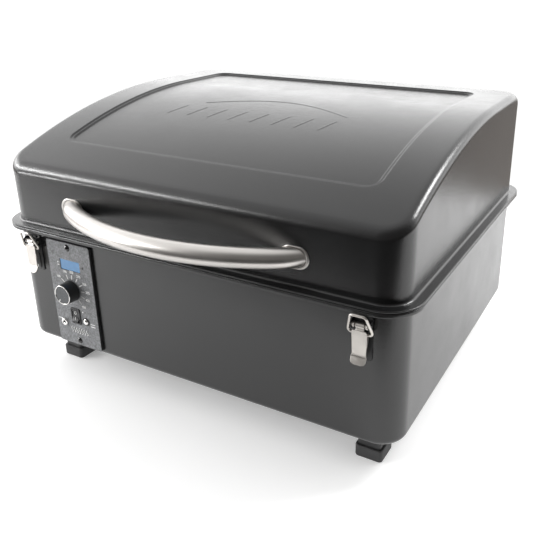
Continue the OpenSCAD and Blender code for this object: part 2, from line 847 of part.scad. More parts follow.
module hinge_leaves_lid() placed() color("#3b3c3e") {
  for (s = [-1, 1]) translate([s * hinge_x, 0, hinge_z]) {
    hinge_leaf(1, [[-knuckle_w / 2, knuckle_w / 2]], hinge_pin_r + 0.06);
  }
}

module hinge_pins() placed() color("#a5a7aa") {
  for (s = [-1, 1]) translate([s * hinge_x, 0, 0]) {
    rod_x(hinge_pin_r, -hinge_w / 2 - 1, hinge_w / 2 + 1, hinge_y, hinge_z);
    for (e = [-1, 1]) rod_x(3, e * (hinge_w / 2 + 0.6) - 0.5, e * (hinge_w / 2 + 0.6) + 0.5, hinge_y, hinge_z);
  }
}

// Screws of one leaf of each hinge, at height z
module hinge_screws(z) {
  for (s = [-1, 1], dx = [-15, 15]) {
    translate([s * hinge_x + dx, rear + leaf, z]) rotate([90, 0, 0]) pan_screw(3.2, 1.8, 1.5, leaf + sheet);
  }
}

module hinge_screws_base() placed() color("#8d8f92") hinge_screws(rim_z - 20);
module hinge_screws_lid() placed() color("#8d8f92") hinge_screws(hinge_z + 20);

// ---------- lid ----------

// Side outline of the lid set inwards by t: front shoulder, long curve, flat rear and rear shoulder
module lid_outline(t) {
  fr = front_r - t;
  rr = rear_r - t;
  cr = crown_r - t;
  axis_z = crown_z - crown_r;
  fy = front + front_r;
  fz = axis_z + sqrt(pow(crown_r - front_r, 2) - pow(crown_y - fy, 2));
  ty = crown_y + (fy - crown_y) * cr / (crown_r - front_r);
  tz = axis_z + (fz - axis_z) * cr / (crown_r - front_r);
  z0 = lid_z - (t > 0 ? 5 : 0);
  translate([fy, fz]) circle(fr);
  polygon([[front + t, z0], [front + t, fz], [fy, fz], [ty, tz], [ty, z0]]);
  intersection() {
    translate([crown_y, axis_z]) circle(cr, $fn = 720);
    translate([ty, z0]) square([crown_y - ty, crown_z]);
  }
  translate([crown_y, z0]) square([rear - rear_r - crown_y, crown_z - t - z0]);
  translate([rear - rear_r - 1, z0]) square([rear_r + 1 - t, crown_z - rear_r - z0]);
  translate([rear - rear_r, crown_z - rear_r]) circle(rr);
}

// The lid's outer shape set inwards by t
module lid_form(t) {
  intersection() {
    along_x(body_w + 20) lid_outline(t);
    slab(body_w - 2 * t, body_d - 2 * t, corner_r - t, lid_z - 5, crown_z + 5);
  }
}

// Upright prism over the sunken panel, grown by g
module panel_prism(g) {
  d = panel_rear - panel_front;
  translate([0, (panel_rear + panel_front) / 2, 0]) {
    slab(panel_w + 2 * g, d + 2 * g, panel_r + g, crown_z - 80, crown_z + 10);
  }
}

module lid_shell() placed() color("#303133") {
  difference() {
    union() {
      lid_form(0);
      slab(body_w + 2 * rim_out, body_d + 2 * rim_out, corner_r + rim_out, lid_z, lid_z + flange_t);
    }
    difference() {
      panel_prism(0);
      along_x(body_w) lid_outline(panel_drop);
    }
    difference() {
      lid_form(sheet);
      difference() {
        panel_prism(sheet);
        along_x(body_w) lid_outline(panel_drop + sheet);
      }
    }
    for (s = [-1, 1]) rod_y(3.2, front - 2, front + 3, s * handle_bolt_x, handle_z);
    for (s = [-1, 1], dx = [-15, 15]) {
      rod_y(1.6, rear - 3, rear + 2, s * hinge_x + dx, hinge_z + 20);
    }
    // Smoke outlet slots in the rear wall
    for (i = [-4 : 4]) block([14 * i - 3, rear - 3, 222], [14 * i + 3, rear + 2, 242]);
  }
}

// The long bow of the handle swept with a round section of radius r
module handle_bow(r) {
  translate([0, bow_y, handle_z]) rotate([0, 0, -90 - bow_angle]) {
    rotate_extrude(angle = 2 * bow_angle) translate([bow_r, 0]) circle(r);
  }
}

// The bow and both end bends, which run on past the wall. A ball just proud of the tube joins the bow to each bend
module handle_sweep(r) {
  handle_bow(r);
  for (s = [0, 1]) mirror([s, 0, 0]) translate([bend_x, bend_y, handle_z]) rotate([0, 0, bow_angle - 90]) {
    rotate_extrude(angle = 106 - bow_angle - end_angle) translate([bend_r, 0]) circle(r);
    translate([bend_r, 0, 0]) sphere(r + 0.03);
  }
}

// Tube cut off along the wall, hollow in the bow and solid at the ends for the bolts
module handle_tube() placed() color("#c9c6c1") {
  difference() {
    handle_sweep(handle_r);
    handle_bow(handle_r - 1.2);
    block([-body_w / 2, front, handle_z - 20], [body_w / 2, front + 30, handle_z + 20]);
    for (s = [-1, 1]) rod_y(3, front - 8.5, front + 1, s * handle_bolt_x, handle_z);
  }
}

module handle_bezels() placed() color("#b9b6b1") {
  difference() {
    for (s = [-1, 1]) along_y(front - 2.5, front) translate([s * handle_end_x, handle_z]) {
      for (e = [-1, 1]) translate([4.2 * e, 0]) circle(11.7);
      square([8.4, 23.4], center = true);
    }
    handle_sweep(handle_r + 0.25);
  }
}

module handle_bolts() placed() color("#8d8f92") {
  for (s = [-1, 1]) {
    translate([s * handle_bolt_x, front + sheet, handle_z]) rotate([90, 0, 0]) pan_screw(6, 3.2, 3, 9);
  }
}

base_tub();
legs();
foot_pads();
leg_screws();
divider_wall();
hopper_bin();
hopper_lid();
hopper_lid_knob();
hopper_hinge_pin();
control_faceplate();
panel_screws();
controller_case();
controller_board();
display_module();
display_window();
status_light();
dial_encoder();
knob_shaft();
knob_body();
knob_cap();
switch_bezel();
switch_rocker();
probe_jack();
prime_switch();
prime_button();
auger_tube();
auger_bush();
auger_shaft();
auger_flight();
auger_gearmotor();
fan_housing();
fan_impeller();
fan_motor();
firepot();
igniter_rod();
heat_baffle();
drip_tray();
support_rails();
grill_grate();
temperature_probe();
power_inlet();
latch_plates();
latch_rivets();
latch_pins();
latch_springs();
latch_lever_left();
latch_lever_right();
latch_bail_left();
latch_bail_right();
hinge_leaves_base();
hinge_leaves_lid();
hinge_pins();
hinge_screws_base();
hinge_screws_lid();
lid_shell();
handle_tube();
handle_bezels();
handle_bolts();
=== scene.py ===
"""Looks of a portable pellet smoker grill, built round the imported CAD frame.

Lengths in the script are millimetres in the frame's own axes: X across, -Y to the front, +Z up.
Build.as_object() turns them into metres. Places come from the CAD nodes' boxes and from the joints' pivots.
"""
import json
import math
from math import cos, pi, radians, sin, sqrt

import bmesh
import bpy
from mathutils import Matrix, Vector


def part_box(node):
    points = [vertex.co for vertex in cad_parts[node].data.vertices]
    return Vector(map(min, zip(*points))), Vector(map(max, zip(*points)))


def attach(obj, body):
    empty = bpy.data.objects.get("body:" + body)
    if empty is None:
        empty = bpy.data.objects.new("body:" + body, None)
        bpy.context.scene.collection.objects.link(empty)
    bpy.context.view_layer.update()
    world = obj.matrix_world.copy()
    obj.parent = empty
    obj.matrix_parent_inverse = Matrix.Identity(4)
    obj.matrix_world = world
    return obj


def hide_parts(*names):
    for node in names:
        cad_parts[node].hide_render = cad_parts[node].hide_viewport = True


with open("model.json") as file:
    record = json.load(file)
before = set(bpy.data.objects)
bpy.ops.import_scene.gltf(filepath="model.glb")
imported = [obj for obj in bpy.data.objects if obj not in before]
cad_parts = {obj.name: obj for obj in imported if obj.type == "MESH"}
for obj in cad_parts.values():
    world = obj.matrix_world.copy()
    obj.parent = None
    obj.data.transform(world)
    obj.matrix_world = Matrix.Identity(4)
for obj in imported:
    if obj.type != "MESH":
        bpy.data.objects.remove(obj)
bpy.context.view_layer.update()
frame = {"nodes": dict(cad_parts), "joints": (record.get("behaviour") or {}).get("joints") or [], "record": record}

MM = 0.001
JOINTS = {joint["name"]: joint for joint in frame["joints"]}

# Sheet metal of the body: the LEVELs are loops on the plain walls
SHEET = 1.5
LID_LEVELS = (240, 200)
TUB_LEVEL = 110
RIM_OUT = 10.5
CORNER_R = 27.0
TUB_EDGE_R = 7.0
LIP_H = 4.2
RIM_EDGE_R = 1.5
FLANGE_T = 1.8
FLANGE_FILLET = 2.5
# Lid: crown, shoulders and sunken panel
CROWN_R = 640.0
CROWN_Y = 70.0
FRONT_R = 9.0
REAR_R = 14.0
PANEL_HALF_X = 192.0
PANEL_HALF_Y = 151.5
PANEL_Y = 3.5
PANEL_R = 13.0
PANEL_DROP = 3.0
PANEL_SLOPE = 3.0
# Down the panel's edge in two small steps: how far out from its middle line, and the share of the drop
PANEL_STEP = ((3.0, 0), (2.65, 0.02), (2.3, 0.1), (1.5, 0.4), (1.15, 0.48), (0.7, 0.5),
              (-0.7, 0.5), (-1.15, 0.52), (-1.5, 0.6), (-2.3, 0.9), (-2.65, 0.98), (-3.0, 1))
# Rows of slots: how many, pitch, half width, half length
SMOKE_SLOTS = (9, 14, 3, 10)
SMOKE_SLOTS_Z = 232
FAN_SLOTS = (7, 8, 2, 25)
FAN_SLOTS_X = -134
# Handle
BOW_R = 260.0
BOW_ANGLE = 28.0
BEND_R = 62.0
END_ANGLE = 44.0
BEZEL_R = 11.7
BEZEL_HALF = 15.9
BEZEL_GAP = 0.3
BEZEL_SHARE = 0.6
# Faceplate: its skin, the hollow behind, and the window
FACE_SKIN = 1.6
FACE_HOLLOW_HALF_Z = 53
WINDOW_HALF = (15.0, 6.4)
# Print is a thin solid that stands a little proud of the paint
PRINT_OUT = 0.12
PRINT_IN = 0.02
# Dial: distances from the knob's middle, then angle and number of each tick. The last ticks are printed grey:
# painted shade where the knob's shadow falls on them
TICK_FROM, TICK_TO, TICK_HALF = 13.6, 19.2, 0.6
NUMBERS_AT, NUMBER_SIZE = (24.072, 22.892), 4.1
DIAL = ((143, "165"), (110, "190"), (84, "225"), (58, "275"),
        (31, "325"), (5, "375"), (-20, "425"), (-52, "450"))
SHADED_TICKS_FROM = 5
# Stage: white paper under the object, and the light that comes from the room and the ground beyond it
PAPER_MID = (0.0, 57.0)
PAPER_HALF = (1300.0, 541.0)
PAPER_TURN = 14.0
PAPER_Z = (-0.2, -0.05)
ROOM_FRONT, ROOM_BACK, ROOM_TOP = (0.17, 0.165, 0.16), (2.9, 2.9, 2.9), (1.1, 1.1, 1.1)
GROUND_FRONT, GROUND_BACK = (0.04, 0.038, 0.036), (0.46, 0.42, 0.39)
BACKWARDS = (-0.5, 0.82, 0.28)
BACKDROP = (1.05, 1.05, 1.05)
# Soft boxes in metres: name, place, target, size, watts
LIGHTS = (
    ("front_strip", (-1.7, -1.2, 1.0), (0, 0, 0.25), (1.4, 0.08), 22),
    ("left", (-2.2, -0.3, 0.9), (0, 0, 0.2), (1.0, 0.7), 8),
    ("low_left", (-1.6, -1.35, 0.12), (-0.15, -0.24, 0.11), (0.25, 0.2), 5),
    ("over_right_floor", (0.95, 0.75, 1.3), (0.6, 0.5, 0), (0.5, 0.5), 17),
)
# How finely loops are divided: segments along X, along Y and round each corner
LOOP_NX, LOOP_NY, LOOP_ARC = 44, 40, 12
SHARP_DEG = 35
BEVEL_FROM_DEG = 30


def box(node):
    """Lowest and highest corner of a CAD node, in millimetres."""
    low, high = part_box(node)
    return low / MM, high / MM


def middle(node):
    low, high = box(node)
    return (low + high) / 2


def pivot(joint):
    """The point that a joint turns about, in millimetres."""
    return Vector(JOINTS[joint]["pos_m"]) / MM


tub_lo, tub_hi = box("base_tub")
lid_lo, lid_hi = box("lid_shell")
plate_lo, plate_hi = box("control_faceplate")
MID_Y = (tub_lo.y + tub_hi.y) / 2
HALF_W = tub_hi.x - RIM_OUT
HALF_D = tub_hi.y - RIM_OUT - MID_Y
FRONT = MID_Y - HALF_D
REAR = MID_Y + HALF_D
FACE_Y = plate_lo.y


# ---------- mesh building ----------


def degrees(start, end, count):
    """Angles in radians from start to end degrees, both included."""
    return [radians(start + (end - start) * i / count) for i in range(count + 1)]


def smooth_step(t):
    t = min(max(t, 0.0), 1.0)
    return t * t * (3 - 2 * t)


def axis_frame(axis):
    """Two unit vectors square to the axis and to each other."""
    axis = Vector(axis).normalized()
    first = axis.orthogonal().normalized()
    return first, axis.cross(first)


def rounded_path(points, radii):
    """The polyline through points, with each inner corner rounded to its radius."""
    steps = 8
    points = [Vector(p) for p in points]
    path = [points[0]]
    for before, corner, after, radius in zip(points, points[1:], points[2:], radii):
        a, b = (before - corner).normalized(), (after - corner).normalized()
        half = a.angle(b) / 2
        reach = radius / math.tan(half)
        centre = corner + (a + b).normalized() * radius / sin(half)
        start, end = corner + a * reach - centre, corner + b * reach - centre
        turn = start.angle(end)
        for i in range(steps + 1):
            t = i / steps
            mixed = (start * sin((1 - t) * turn) + end * sin(t * turn)) / sin(turn)
            path.append(centre + mixed)
    path.append(points[-1])
    return path


def rect_outline(centre, half, radius, steps=6):
    """Outline of a flat rectangle with round corners, in two coordinates."""
    outline = []
    for i, (sx, sy) in enumerate(((1, -1), (1, 1), (-1, 1), (-1, -1))):
        for a in degrees(-90 + 90 * i, 90 * i, steps):
            x = centre[0] + sx * (half[0] - radius) + radius * cos(a)
            y = centre[1] + sy * (half[1] - radius) + radius * sin(a)
            outline.append((x, y))
    return outline


class Build:
    """Collects closed shells, in millimetres, and turns them into one piece."""

    def __init__(self):
        self.bm = bmesh.new()

    def shell(self, verts, faces, bevel=0.0, segments=2):
        """Adds one closed shell and rounds its sharp edges."""
        part = bmesh.new()
        made = [part.verts.new(v) for v in verts]
        for face in faces:
            part.faces.new([made[i] for i in face])
        bmesh.ops.recalc_face_normals(part, faces=part.faces)
        if bevel:
            limit = radians(BEVEL_FROM_DEG)
            edges = [e for e in part.edges if e.calc_face_angle(0) > limit]
            bmesh.ops.bevel(
                part, geom=edges, offset=bevel, segments=segments,
                profile=0.5, affect="EDGES", clamp_overlap=True,
            )
        mesh = bpy.data.meshes.new("part")
        part.to_mesh(mesh)
        part.free()
        self.bm.from_mesh(mesh)
        bpy.data.meshes.remove(mesh)
        return self

    def prism(self, outline, axis, start, end, bevel=0.0, segments=2):
        """Outline in the two other coordinates, extruded along axis 0, 1 or 2."""
        verts = []
        for level in (start, end):
            for u, v in outline:
                point = [u, v]
                point.insert(axis, level)
                verts.append(point)
        n = len(outline)
        sides = [(i, (i + 1) % n, n + (i + 1) % n, n + i) for i in range(n)]
        return self.shell(verts, [tuple(range(n)), tuple(range(n, 2 * n)), *sides], bevel, segments)

    def block(self, a, b, bevel=0.0, segments=2):
        outline = [(a[0], a[1]), (b[0], a[1]), (b[0], b[1]), (a[0], b[1])]
        return self.prism(outline, 2, a[2], b[2], bevel, segments)

    def loft(self, rings, closed=False):
        """Skins a list of rings of points. A ring of one point ends the shell in a fan."""
        verts = [p for ring in rings for p in ring]
        starts = [sum(len(r) for r in rings[:i]) for i in range(len(rings) + 1)]
        faces = []
        pairs = list(zip(range(len(rings)), range(1, len(rings))))
        if closed:
            pairs.append((len(rings) - 1, 0))
        for a, b in pairs:
            na, nb = len(rings[a]), len(rings[b])
            for i in range(max(na, nb)):
                j = (i + 1) % max(na, nb)
                quad = [starts[a] + i % na, starts[a] + j % na, starts[b] + j % nb, starts[b] + i % nb]
                faces.append(tuple(dict.fromkeys(quad)))
        if not closed:
            for k in (0, len(rings) - 1):
                if len(rings[k]) > 1:
                    faces.append(tuple(range(starts[k], starts[k + 1])))
        return self.shell(verts, faces)

    def lathe(self, profile, centre, axis, count, closed=False):
        """Turns (radius, height) pairs round an axis through centre."""
        u, v = axis_frame(axis)
        centre, axis = Vector(centre), Vector(axis).normalized()
        rings = []
        for radius, height in profile:
            base = centre + axis * height
            if radius == 0:
                rings.append([base])
                continue
            turns = [2 * pi * i / count for i in range(count)]
            rings.append([base + (u * cos(a) + v * sin(a)) * radius for a in turns])
        return self.loft(rings, closed)

    def tube(self, path, radius, count, round_ends=True):
        """Sweeps a circle along a path, with half-round ends."""
        path = [Vector(p) for p in path]
        tangents = []
        for i in range(len(path)):
            tangents.append((path[min(i + 1, len(path) - 1)] - path[max(i - 1, 0)]).normalized())
        side = tangents[0].orthogonal().normalized()
        rings = []
        for i, (point, tangent) in enumerate(zip(path, tangents)):
            side = (side - tangent * side.dot(tangent)).normalized()
            up = tangent.cross(side)
            turns = [2 * pi * k / count for k in range(count)]
            circle = [side * cos(a) + up * sin(a) for a in turns]
            profile = [(0, 1)]
            if round_ends and i == 0:
                profile = [(-cos(a), sin(a)) for a in degrees(20, 70, 2)] + profile
            if round_ends and i == len(path) - 1:
                profile += [(cos(a), sin(a)) for a in degrees(70, 20, 2)]
            for push, share in profile:
                rings.append([point + tangent * radius * push + c * radius * share for c in circle])
        return self.loft(rings)

    def ribbon(self, path, thick, edge=0.35):
        """Sheet strip across X along (x, y, z, half width) points, with rounded long edges."""
        points = [Vector(p[:3]) for p in path]
        rings = []
        for i, p in enumerate(path):
            tangent = (points[min(i + 1, len(path) - 1)] - points[max(i - 1, 0)]).normalized()
            normal = tangent.cross(Vector((1, 0, 0)))
            outline = rect_outline((0, 0), (p[3], thick / 2), min(edge, thick / 2 - 0.02), 2)
            rings.append([points[i] + Vector((u, 0, 0)) + normal * v for u, v in outline])
        return self.loft(rings)

    def dome(self, centre, axis, radius, height):
        """Domed head of a screw or rivet, let a little into what it sits on."""
        ball = (radius * radius + height * height) / (2 * height)
        steps = degrees(0, math.degrees(math.asin(radius / ball)), 8)
        profile = [(ball * sin(a), height - ball * (1 - cos(a))) for a in steps]
        profile.append((radius, -0.1))
        return self.lathe(profile, centre, axis, 24)

    def trim(self, place, normal):
        """Cuts away what lies beyond a plane, and closes the cut."""
        everything = [*self.bm.verts, *self.bm.edges, *self.bm.faces]
        bmesh.ops.bisect_plane(self.bm, geom=everything, plane_co=place, plane_no=normal, clear_outer=True)
        bmesh.ops.holes_fill(self.bm, edges=[e for e in self.bm.edges if e.is_boundary])
        return self

    def move(self, matrix):
        self.bm.transform(matrix)
        return self

    def as_object(self, name):
        """Ends the building: one mesh object in metres."""
        mesh = bpy.data.meshes.new(name)
        self.bm.transform(Matrix.Scale(MM, 4))
        self.bm.to_mesh(mesh)
        self.bm.free()
        obj = bpy.data.objects.new(name, mesh)
        bpy.context.scene.collection.objects.link(obj)
        return obj

    def finish(self, name, material, body, replaces=(), slot=None, sharp=SHARP_DEG):
        """Makes the piece. The slot argument is not used."""
        obj = self.as_object(name)
        shade(obj.data, sharp)
        obj.data.materials.append(MATERIALS[material])
        weighted = obj.modifiers.new("weighted", "WEIGHTED_NORMAL")
        weighted.keep_sharp = True
        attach(obj, body)
        if replaces:
            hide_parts(*replaces)
        return obj


def shade(mesh, sharp):
    mesh.shade_smooth()
    mesh.set_sharp_from_angle(angle=radians(sharp))


def cut(obj, cutter):
    """Takes the cutter's shells out of a piece's mesh."""
    tool = cutter.as_object("cutter")
    weighted = obj.modifiers["weighted"]
    weighted.show_viewport = False
    boolean = obj.modifiers.new("cut", "BOOLEAN")
    boolean.operation = "DIFFERENCE"
    boolean.solver = "EXACT"
    boolean.object = tool
    depsgraph = bpy.context.evaluated_depsgraph_get()
    obj.data = bpy.data.meshes.new_from_object(obj.evaluated_get(depsgraph))
    obj.modifiers.remove(boolean)
    weighted.show_viewport = True
    shade(obj.data, SHARP_DEG)
    bpy.data.objects.remove(tool)


# ---------- materials ----------


def node(tree, kind, **inputs):
    """Makes a shader node; each keyword sets the input of that name."""
    made = tree.nodes.new(kind)
    for name, value in inputs.items():
        made.inputs[name.replace("_", " ")].default_value = value
    return made


def noise_of(tree, scale, stretch=(1, 1, 1), detail=3.0):
    """Noise in the object's own coordinates, finer along the stretched axes."""
    coords = tree.nodes.new("ShaderNodeTexCoord")
    mapping = node(tree, "ShaderNodeMapping", Scale=stretch)
    noise = node(tree, "ShaderNodeTexNoise", Scale=scale, Detail=detail, Roughness=0.55)
    tree.links.new(coords.outputs["Object"], mapping.inputs["Vector"])
    tree.links.new(mapping.outputs["Vector"], noise.inputs["Vector"])
    return noise


def finish_of(name, color, roughness, metallic=0.0, vary=0.12, patch=18.0, spread=0.06, grain=(),
              stretch=(1, 1, 1), specular=0.5, coat=0.0, aniso=0.0, second=None, speckle=0.0,
              speckle_scale=900.0, glow=0.0):
    """A procedural finish: patchy colour and roughness, and layers of (noise scale, depth in mm) grain."""
    material = bpy.data.materials.new(name)
    material.use_nodes = True
    material.diffuse_color = (*color, 1)
    tree = material.node_tree
    link = tree.links.new
    shader = tree.nodes["Principled BSDF"]
    shader.inputs["Metallic"].default_value = metallic
    shader.inputs["Specular IOR Level"].default_value = specular
    shader.inputs["Coat Weight"].default_value = coat
    shader.inputs["Coat Roughness"].default_value = 0.1
    shader.inputs["Anisotropic"].default_value = aniso
    patches = noise_of(tree, patch, detail=4.0)
    ramp = tree.nodes.new("ShaderNodeValToRGB")
    other = second or tuple(c * (1 - vary) for c in color)
    ramp.color_ramp.elements[0].color = (*other, 1)
    ramp.color_ramp.elements[0].position = 0.32
    ramp.color_ramp.elements[1].color = (*(min(c * (1 + vary), 1.0) for c in color), 1)
    ramp.color_ramp.elements[1].position = 0.68
    link(patches.outputs["Fac"], ramp.inputs["Fac"])
    base = ramp.outputs["Color"]
    if speckle:
        flecks = noise_of(tree, speckle_scale, detail=2.0)
        mix = tree.nodes.new("ShaderNodeMix")
        mix.data_type = "RGBA"
        mix.blend_type = "OVERLAY"
        mix.inputs["Factor"].default_value = speckle
        link(base, mix.inputs["A"])
        link(flecks.outputs["Fac"], mix.inputs["B"])
        base = mix.outputs["Result"]
    link(base, shader.inputs["Base Color"])
    if glow:
        link(base, shader.inputs["Emission Color"])
        shader.inputs["Emission Strength"].default_value = glow
    wear = noise_of(tree, patch * 2.3, stretch, detail=5.0)
    spread_map = node(tree, "ShaderNodeMapRange", From_Min=0.3, From_Max=0.7,
                      To_Min=max(roughness - spread, 0.02), To_Max=roughness + spread)
    link(wear.outputs["Fac"], spread_map.inputs["Value"])
    link(spread_map.outputs["Result"], shader.inputs["Roughness"])
    normal = None
    for scale, depth in grain:
        layer = noise_of(tree, scale, stretch)
        bump = node(tree, "ShaderNodeBump", Strength=1.0, Distance=depth * MM)
        link(layer.outputs["Fac"], bump.inputs["Height"])
        if normal:
            link(normal, bump.inputs["Normal"])
        normal = bump.outputs["Normal"]
    if normal:
        link(normal, shader.inputs["Normal"])
    return material


BRUSHED_X = (0.03, 1.0, 1.0)
# Colour, roughness, metallic, then whatever differs from the defaults of finish_of
FINISHES = {
    "black_powder_coat": ((0.0095, 0.0097, 0.01), 0.24, 0.0, dict(
        patch=9, spread=0.03, grain=((620, 0.12), (1500, 0.05)), specular=0.62)),
    "dark_steel": ((0.02, 0.02, 0.021), 0.42, 0.0, dict(grain=((900, 0.03),))),
    "rubber": ((0.045, 0.045, 0.046), 0.72, 0.0, dict(patch=60, vary=0.25, grain=((1400, 0.05),))),
    "zinc_steel": ((0.55, 0.55, 0.54), 0.33, 1.0, dict(patch=90, grain=((1600, 0.01),))),
    "galvanised": ((0.4, 0.41, 0.42), 0.46, 1.0, dict(
        vary=0.22, patch=70, spread=0.1, grain=((500, 0.015),))),
    "stainless": ((0.58, 0.557, 0.534), 0.33, 1.0, dict(
        vary=0.04, patch=30, spread=0.03, grain=((2600, 0.006),), stretch=BRUSHED_X)),
    "faceplate_paint": ((0.185, 0.189, 0.196), 0.5, 0.0, dict(
        patch=140, vary=0.1, grain=((480, 0.4),), speckle=1.0, speckle_scale=520)),
    "case_plastic": ((0.016, 0.016, 0.017), 0.5, 0.0, dict(patch=80, grain=((1800, 0.02),))),
    "circuit_board": ((0.015, 0.09, 0.04), 0.4, 0.0, dict(patch=120, grain=((900, 0.02),))),
    "display_panel": ((0.1, 0.22, 0.34), 0.3, 0.0, dict(patch=120, vary=0.05)),
    # The lens glows a little though it is no lamp: painted light that brightens the window
    "display_lens": ((0.072, 0.205, 0.4), 0.16, 0.0, dict(patch=160, vary=0.06, coat=0.2, glow=0.16)),
    "gloss_black": ((0.006, 0.006, 0.006), 0.14, 0.0, dict(patch=200, spread=0.03, coat=0.5)),
    "led_plastic": ((0.008, 0.008, 0.008), 0.2, 0.0, dict(patch=200, coat=0.5)),
    "knob_plastic": ((0.008, 0.008, 0.0085), 0.36, 0.0, dict(patch=90, grain=((1800, 0.012),))),
    "knob_metal": ((0.1, 0.103, 0.106), 0.3, 1.0, dict(patch=120, vary=0.05, aniso=0.8)),
    "switch_plastic": ((0.012, 0.012, 0.013), 0.28, 0.0, dict(patch=120, grain=((2000, 0.01),))),
    "bright_metal": ((0.78, 0.77, 0.75), 0.14, 1.0, dict(patch=160, vary=0.05)),
    "bronze": ((0.42, 0.28, 0.12), 0.45, 1.0, dict(patch=160, grain=((1800, 0.03),))),
    "gear_housing": ((0.36, 0.37, 0.38), 0.5, 1.0, dict(patch=90, grain=((1300, 0.04),))),
    "fan_plastic": ((0.024, 0.024, 0.026), 0.45, 0.0, dict(patch=90, grain=((1600, 0.02),))),
    "fire_steel": ((0.11, 0.1, 0.095), 0.55, 0.8, dict(
        vary=0.35, patch=26, spread=0.12, second=(0.09, 0.07, 0.075), grain=((420, 0.06),))),
    "ceramic_rod": ((0.62, 0.58, 0.52), 0.5, 0.0, dict(patch=160, grain=((1500, 0.02),))),
    "enamel": ((0.02, 0.02, 0.021), 0.26, 0.0, dict(
        patch=40, speckle=0.35, speckle_scale=700, grain=((300, 0.05),), coat=0.3)),
    "satin_nickel": ((0.58, 0.553, 0.52), 0.34, 1.0, dict(
        vary=0.05, patch=70, spread=0.06, grain=((1500, 0.012),))),
    "white_print": ((0.78, 0.78, 0.77), 0.5, 0.0, dict(patch=300, vary=0.08, grain=((2500, 0.01),))),
    # Grey print for the ticks that lie in the knob's shadow: painted shade, the ink itself is white
    "painted_shade_print": ((0.48, 0.48, 0.48), 0.5, 0.0, dict(patch=300, vary=0.08, grain=((2500, 0.01),))),
}
MATERIALS = {}
for finish, (tint, rough, metal, extras) in FINISHES.items():
    MATERIALS[finish] = finish_of(finish, tint, rough, metal, **extras)


# ---------- lid and tub ----------


def loop_points(half_x, half_y, radius, mid_y):
    """A rectangle with round corners as one loop, from the front right corner on, seen from above."""
    corners = ((1, -1), (1, 1), (-1, 1), (-1, -1))
    counts = (LOOP_NY, LOOP_NX, LOOP_NY, LOOP_NX)
    points = []
    for i, (sx, sy) in enumerate(corners):
        for a in degrees(-90 + 90 * i, 90 * i, LOOP_ARC):
            x = sx * (half_x - radius) + radius * cos(a)
            y = mid_y + sy * (half_y - radius) + radius * sin(a)
            points.append(Vector((x, y, 0)))
        nx, ny = corners[(i + 1) % 4]
        a = points[-1]
        b = Vector((nx * (half_x - radius), mid_y + ny * (half_y - radius), 0))
        b += radius * Vector(((1, 0, 0), (0, 1, 0), (-1, 0, 0), (0, -1, 0))[i])
        points += [a.lerp(b, k / counts[i]) for k in range(1, counts[i])]
    return points


def slot_row(row, middle_of_row, axis, start, end):
    """Cutter for a row of round-ended slots, pitched along X."""
    count, pitch, half_wide, half_long = row
    slots = Build()
    for i in range(count):
        centre = (middle_of_row[0] + pitch * (i - (count - 1) / 2), middle_of_row[1])
        slots.prism(rect_outline(centre, (half_wide, half_long), half_wide - 0.1), axis, start, end)
    return slots


def body_loop(inset, height):
    """A loop round the body. inset(y) is how far it stands in from the wall, height(y) its level."""
    outer = loop_points(HALF_W, HALF_D, CORNER_R, MID_Y)
    inner = loop_points(HALF_W - 1, HALF_D - 1, CORNER_R - 1, MID_Y)
    ring = []
    for p, q in zip(outer, inner):
        at = p + (q - p) * inset(p.y)
        ring.append(Vector((at.x, at.y, height(at.y, p.y))))
    return ring


def level_loop(inset, z):
    return body_loop(lambda y: inset, lambda y, wall_y: z)


def round_loops(centre_inset, centre_z, radius, start, end, count):
    """Loops round a fillet: angle 0 points outwards and 90 up."""
    return [
        level_loop(centre_inset - radius * cos(a), centre_z + radius * sin(a))
        for a in degrees(start, end, count)
    ]


class Skin:
    """A closed skin of loops that all have the same number of points, capped with even grids."""

    def __init__(self):
        self.verts = []
        self.faces = []
        self.last = None

    def add(self, *rings):
        for ring in rings:
            index = list(range(len(self.verts), len(self.verts) + len(ring)))
            self.verts += ring
            self.join(index)

    def join(self, index):
        n = len(index)
        if self.last:
            for i in range(n):
                j = (i + 1) % n
                self.faces.append((self.last[i], self.last[j], index[j], index[i]))
        self.last = index

    def grid(self, half_x, half_y, radius, mid_y, height):
        """Fills the loop of that size with a grid whose four corners meet the middles of the arcs."""
        leg = LOOP_ARC // 2
        lines = []
        for half, count in ((half_x, LOOP_NX), (half_y, LOOP_NY)):
            straight, reach = half - radius, half - 0.35 * radius
            steps = [straight + (reach - straight) * i / leg for i in range(1, leg + 1)]
            inner = [-straight + 2 * straight * i / count for i in range(count + 1)]
            lines.append([-s for s in reversed(steps)] + inner + steps)
        xs, ys = lines
        start = len(self.verts)
        for y in ys:
            self.verts += [Vector((x, y + mid_y, height(y + mid_y))) for x in xs]
        wide, deep = len(xs) - 1, len(ys) - 1

        def at(i, j):
            return start + j * (wide + 1) + i

        for j in range(deep):
            for i in range(wide):
                self.faces.append((at(i, j), at(i + 1, j), at(i + 1, j + 1), at(i, j + 1)))
        edge = [at(i, 0) for i in range(wide)] + [at(wide, j) for j in range(deep)]
        edge += [at(i, deep) for i in range(wide, 0, -1)] + [at(0, j) for j in range(deep, 0, -1)]
        first = leg + LOOP_NX
        self.join(edge[first:] + edge[:first])


def crown(y):
    """Height of the lid's crown above the ground."""
    run = max(CROWN_Y - (y - MID_Y), 0)
    return lid_hi.z - (CROWN_R - sqrt(CROWN_R**2 - run**2))


def shoulder_r(y):
    return FRONT_R + (REAR_R - FRONT_R) * smooth_step((y - MID_Y - 150) / 40)


def shoulder_loop(angle, skin_t):
    """Loop on the lid's shoulder: angle 0 is at the wall and 90 degrees on the crown."""
    def inset(wall_y):
        return skin_t + (shoulder_r(wall_y) - skin_t) * (1 - cos(angle))

    def height(y, wall_y):
        return crown(y) - skin_t - (shoulder_r(wall_y) - skin_t) * (1 - sin(angle))

    return body_loop(inset, height)


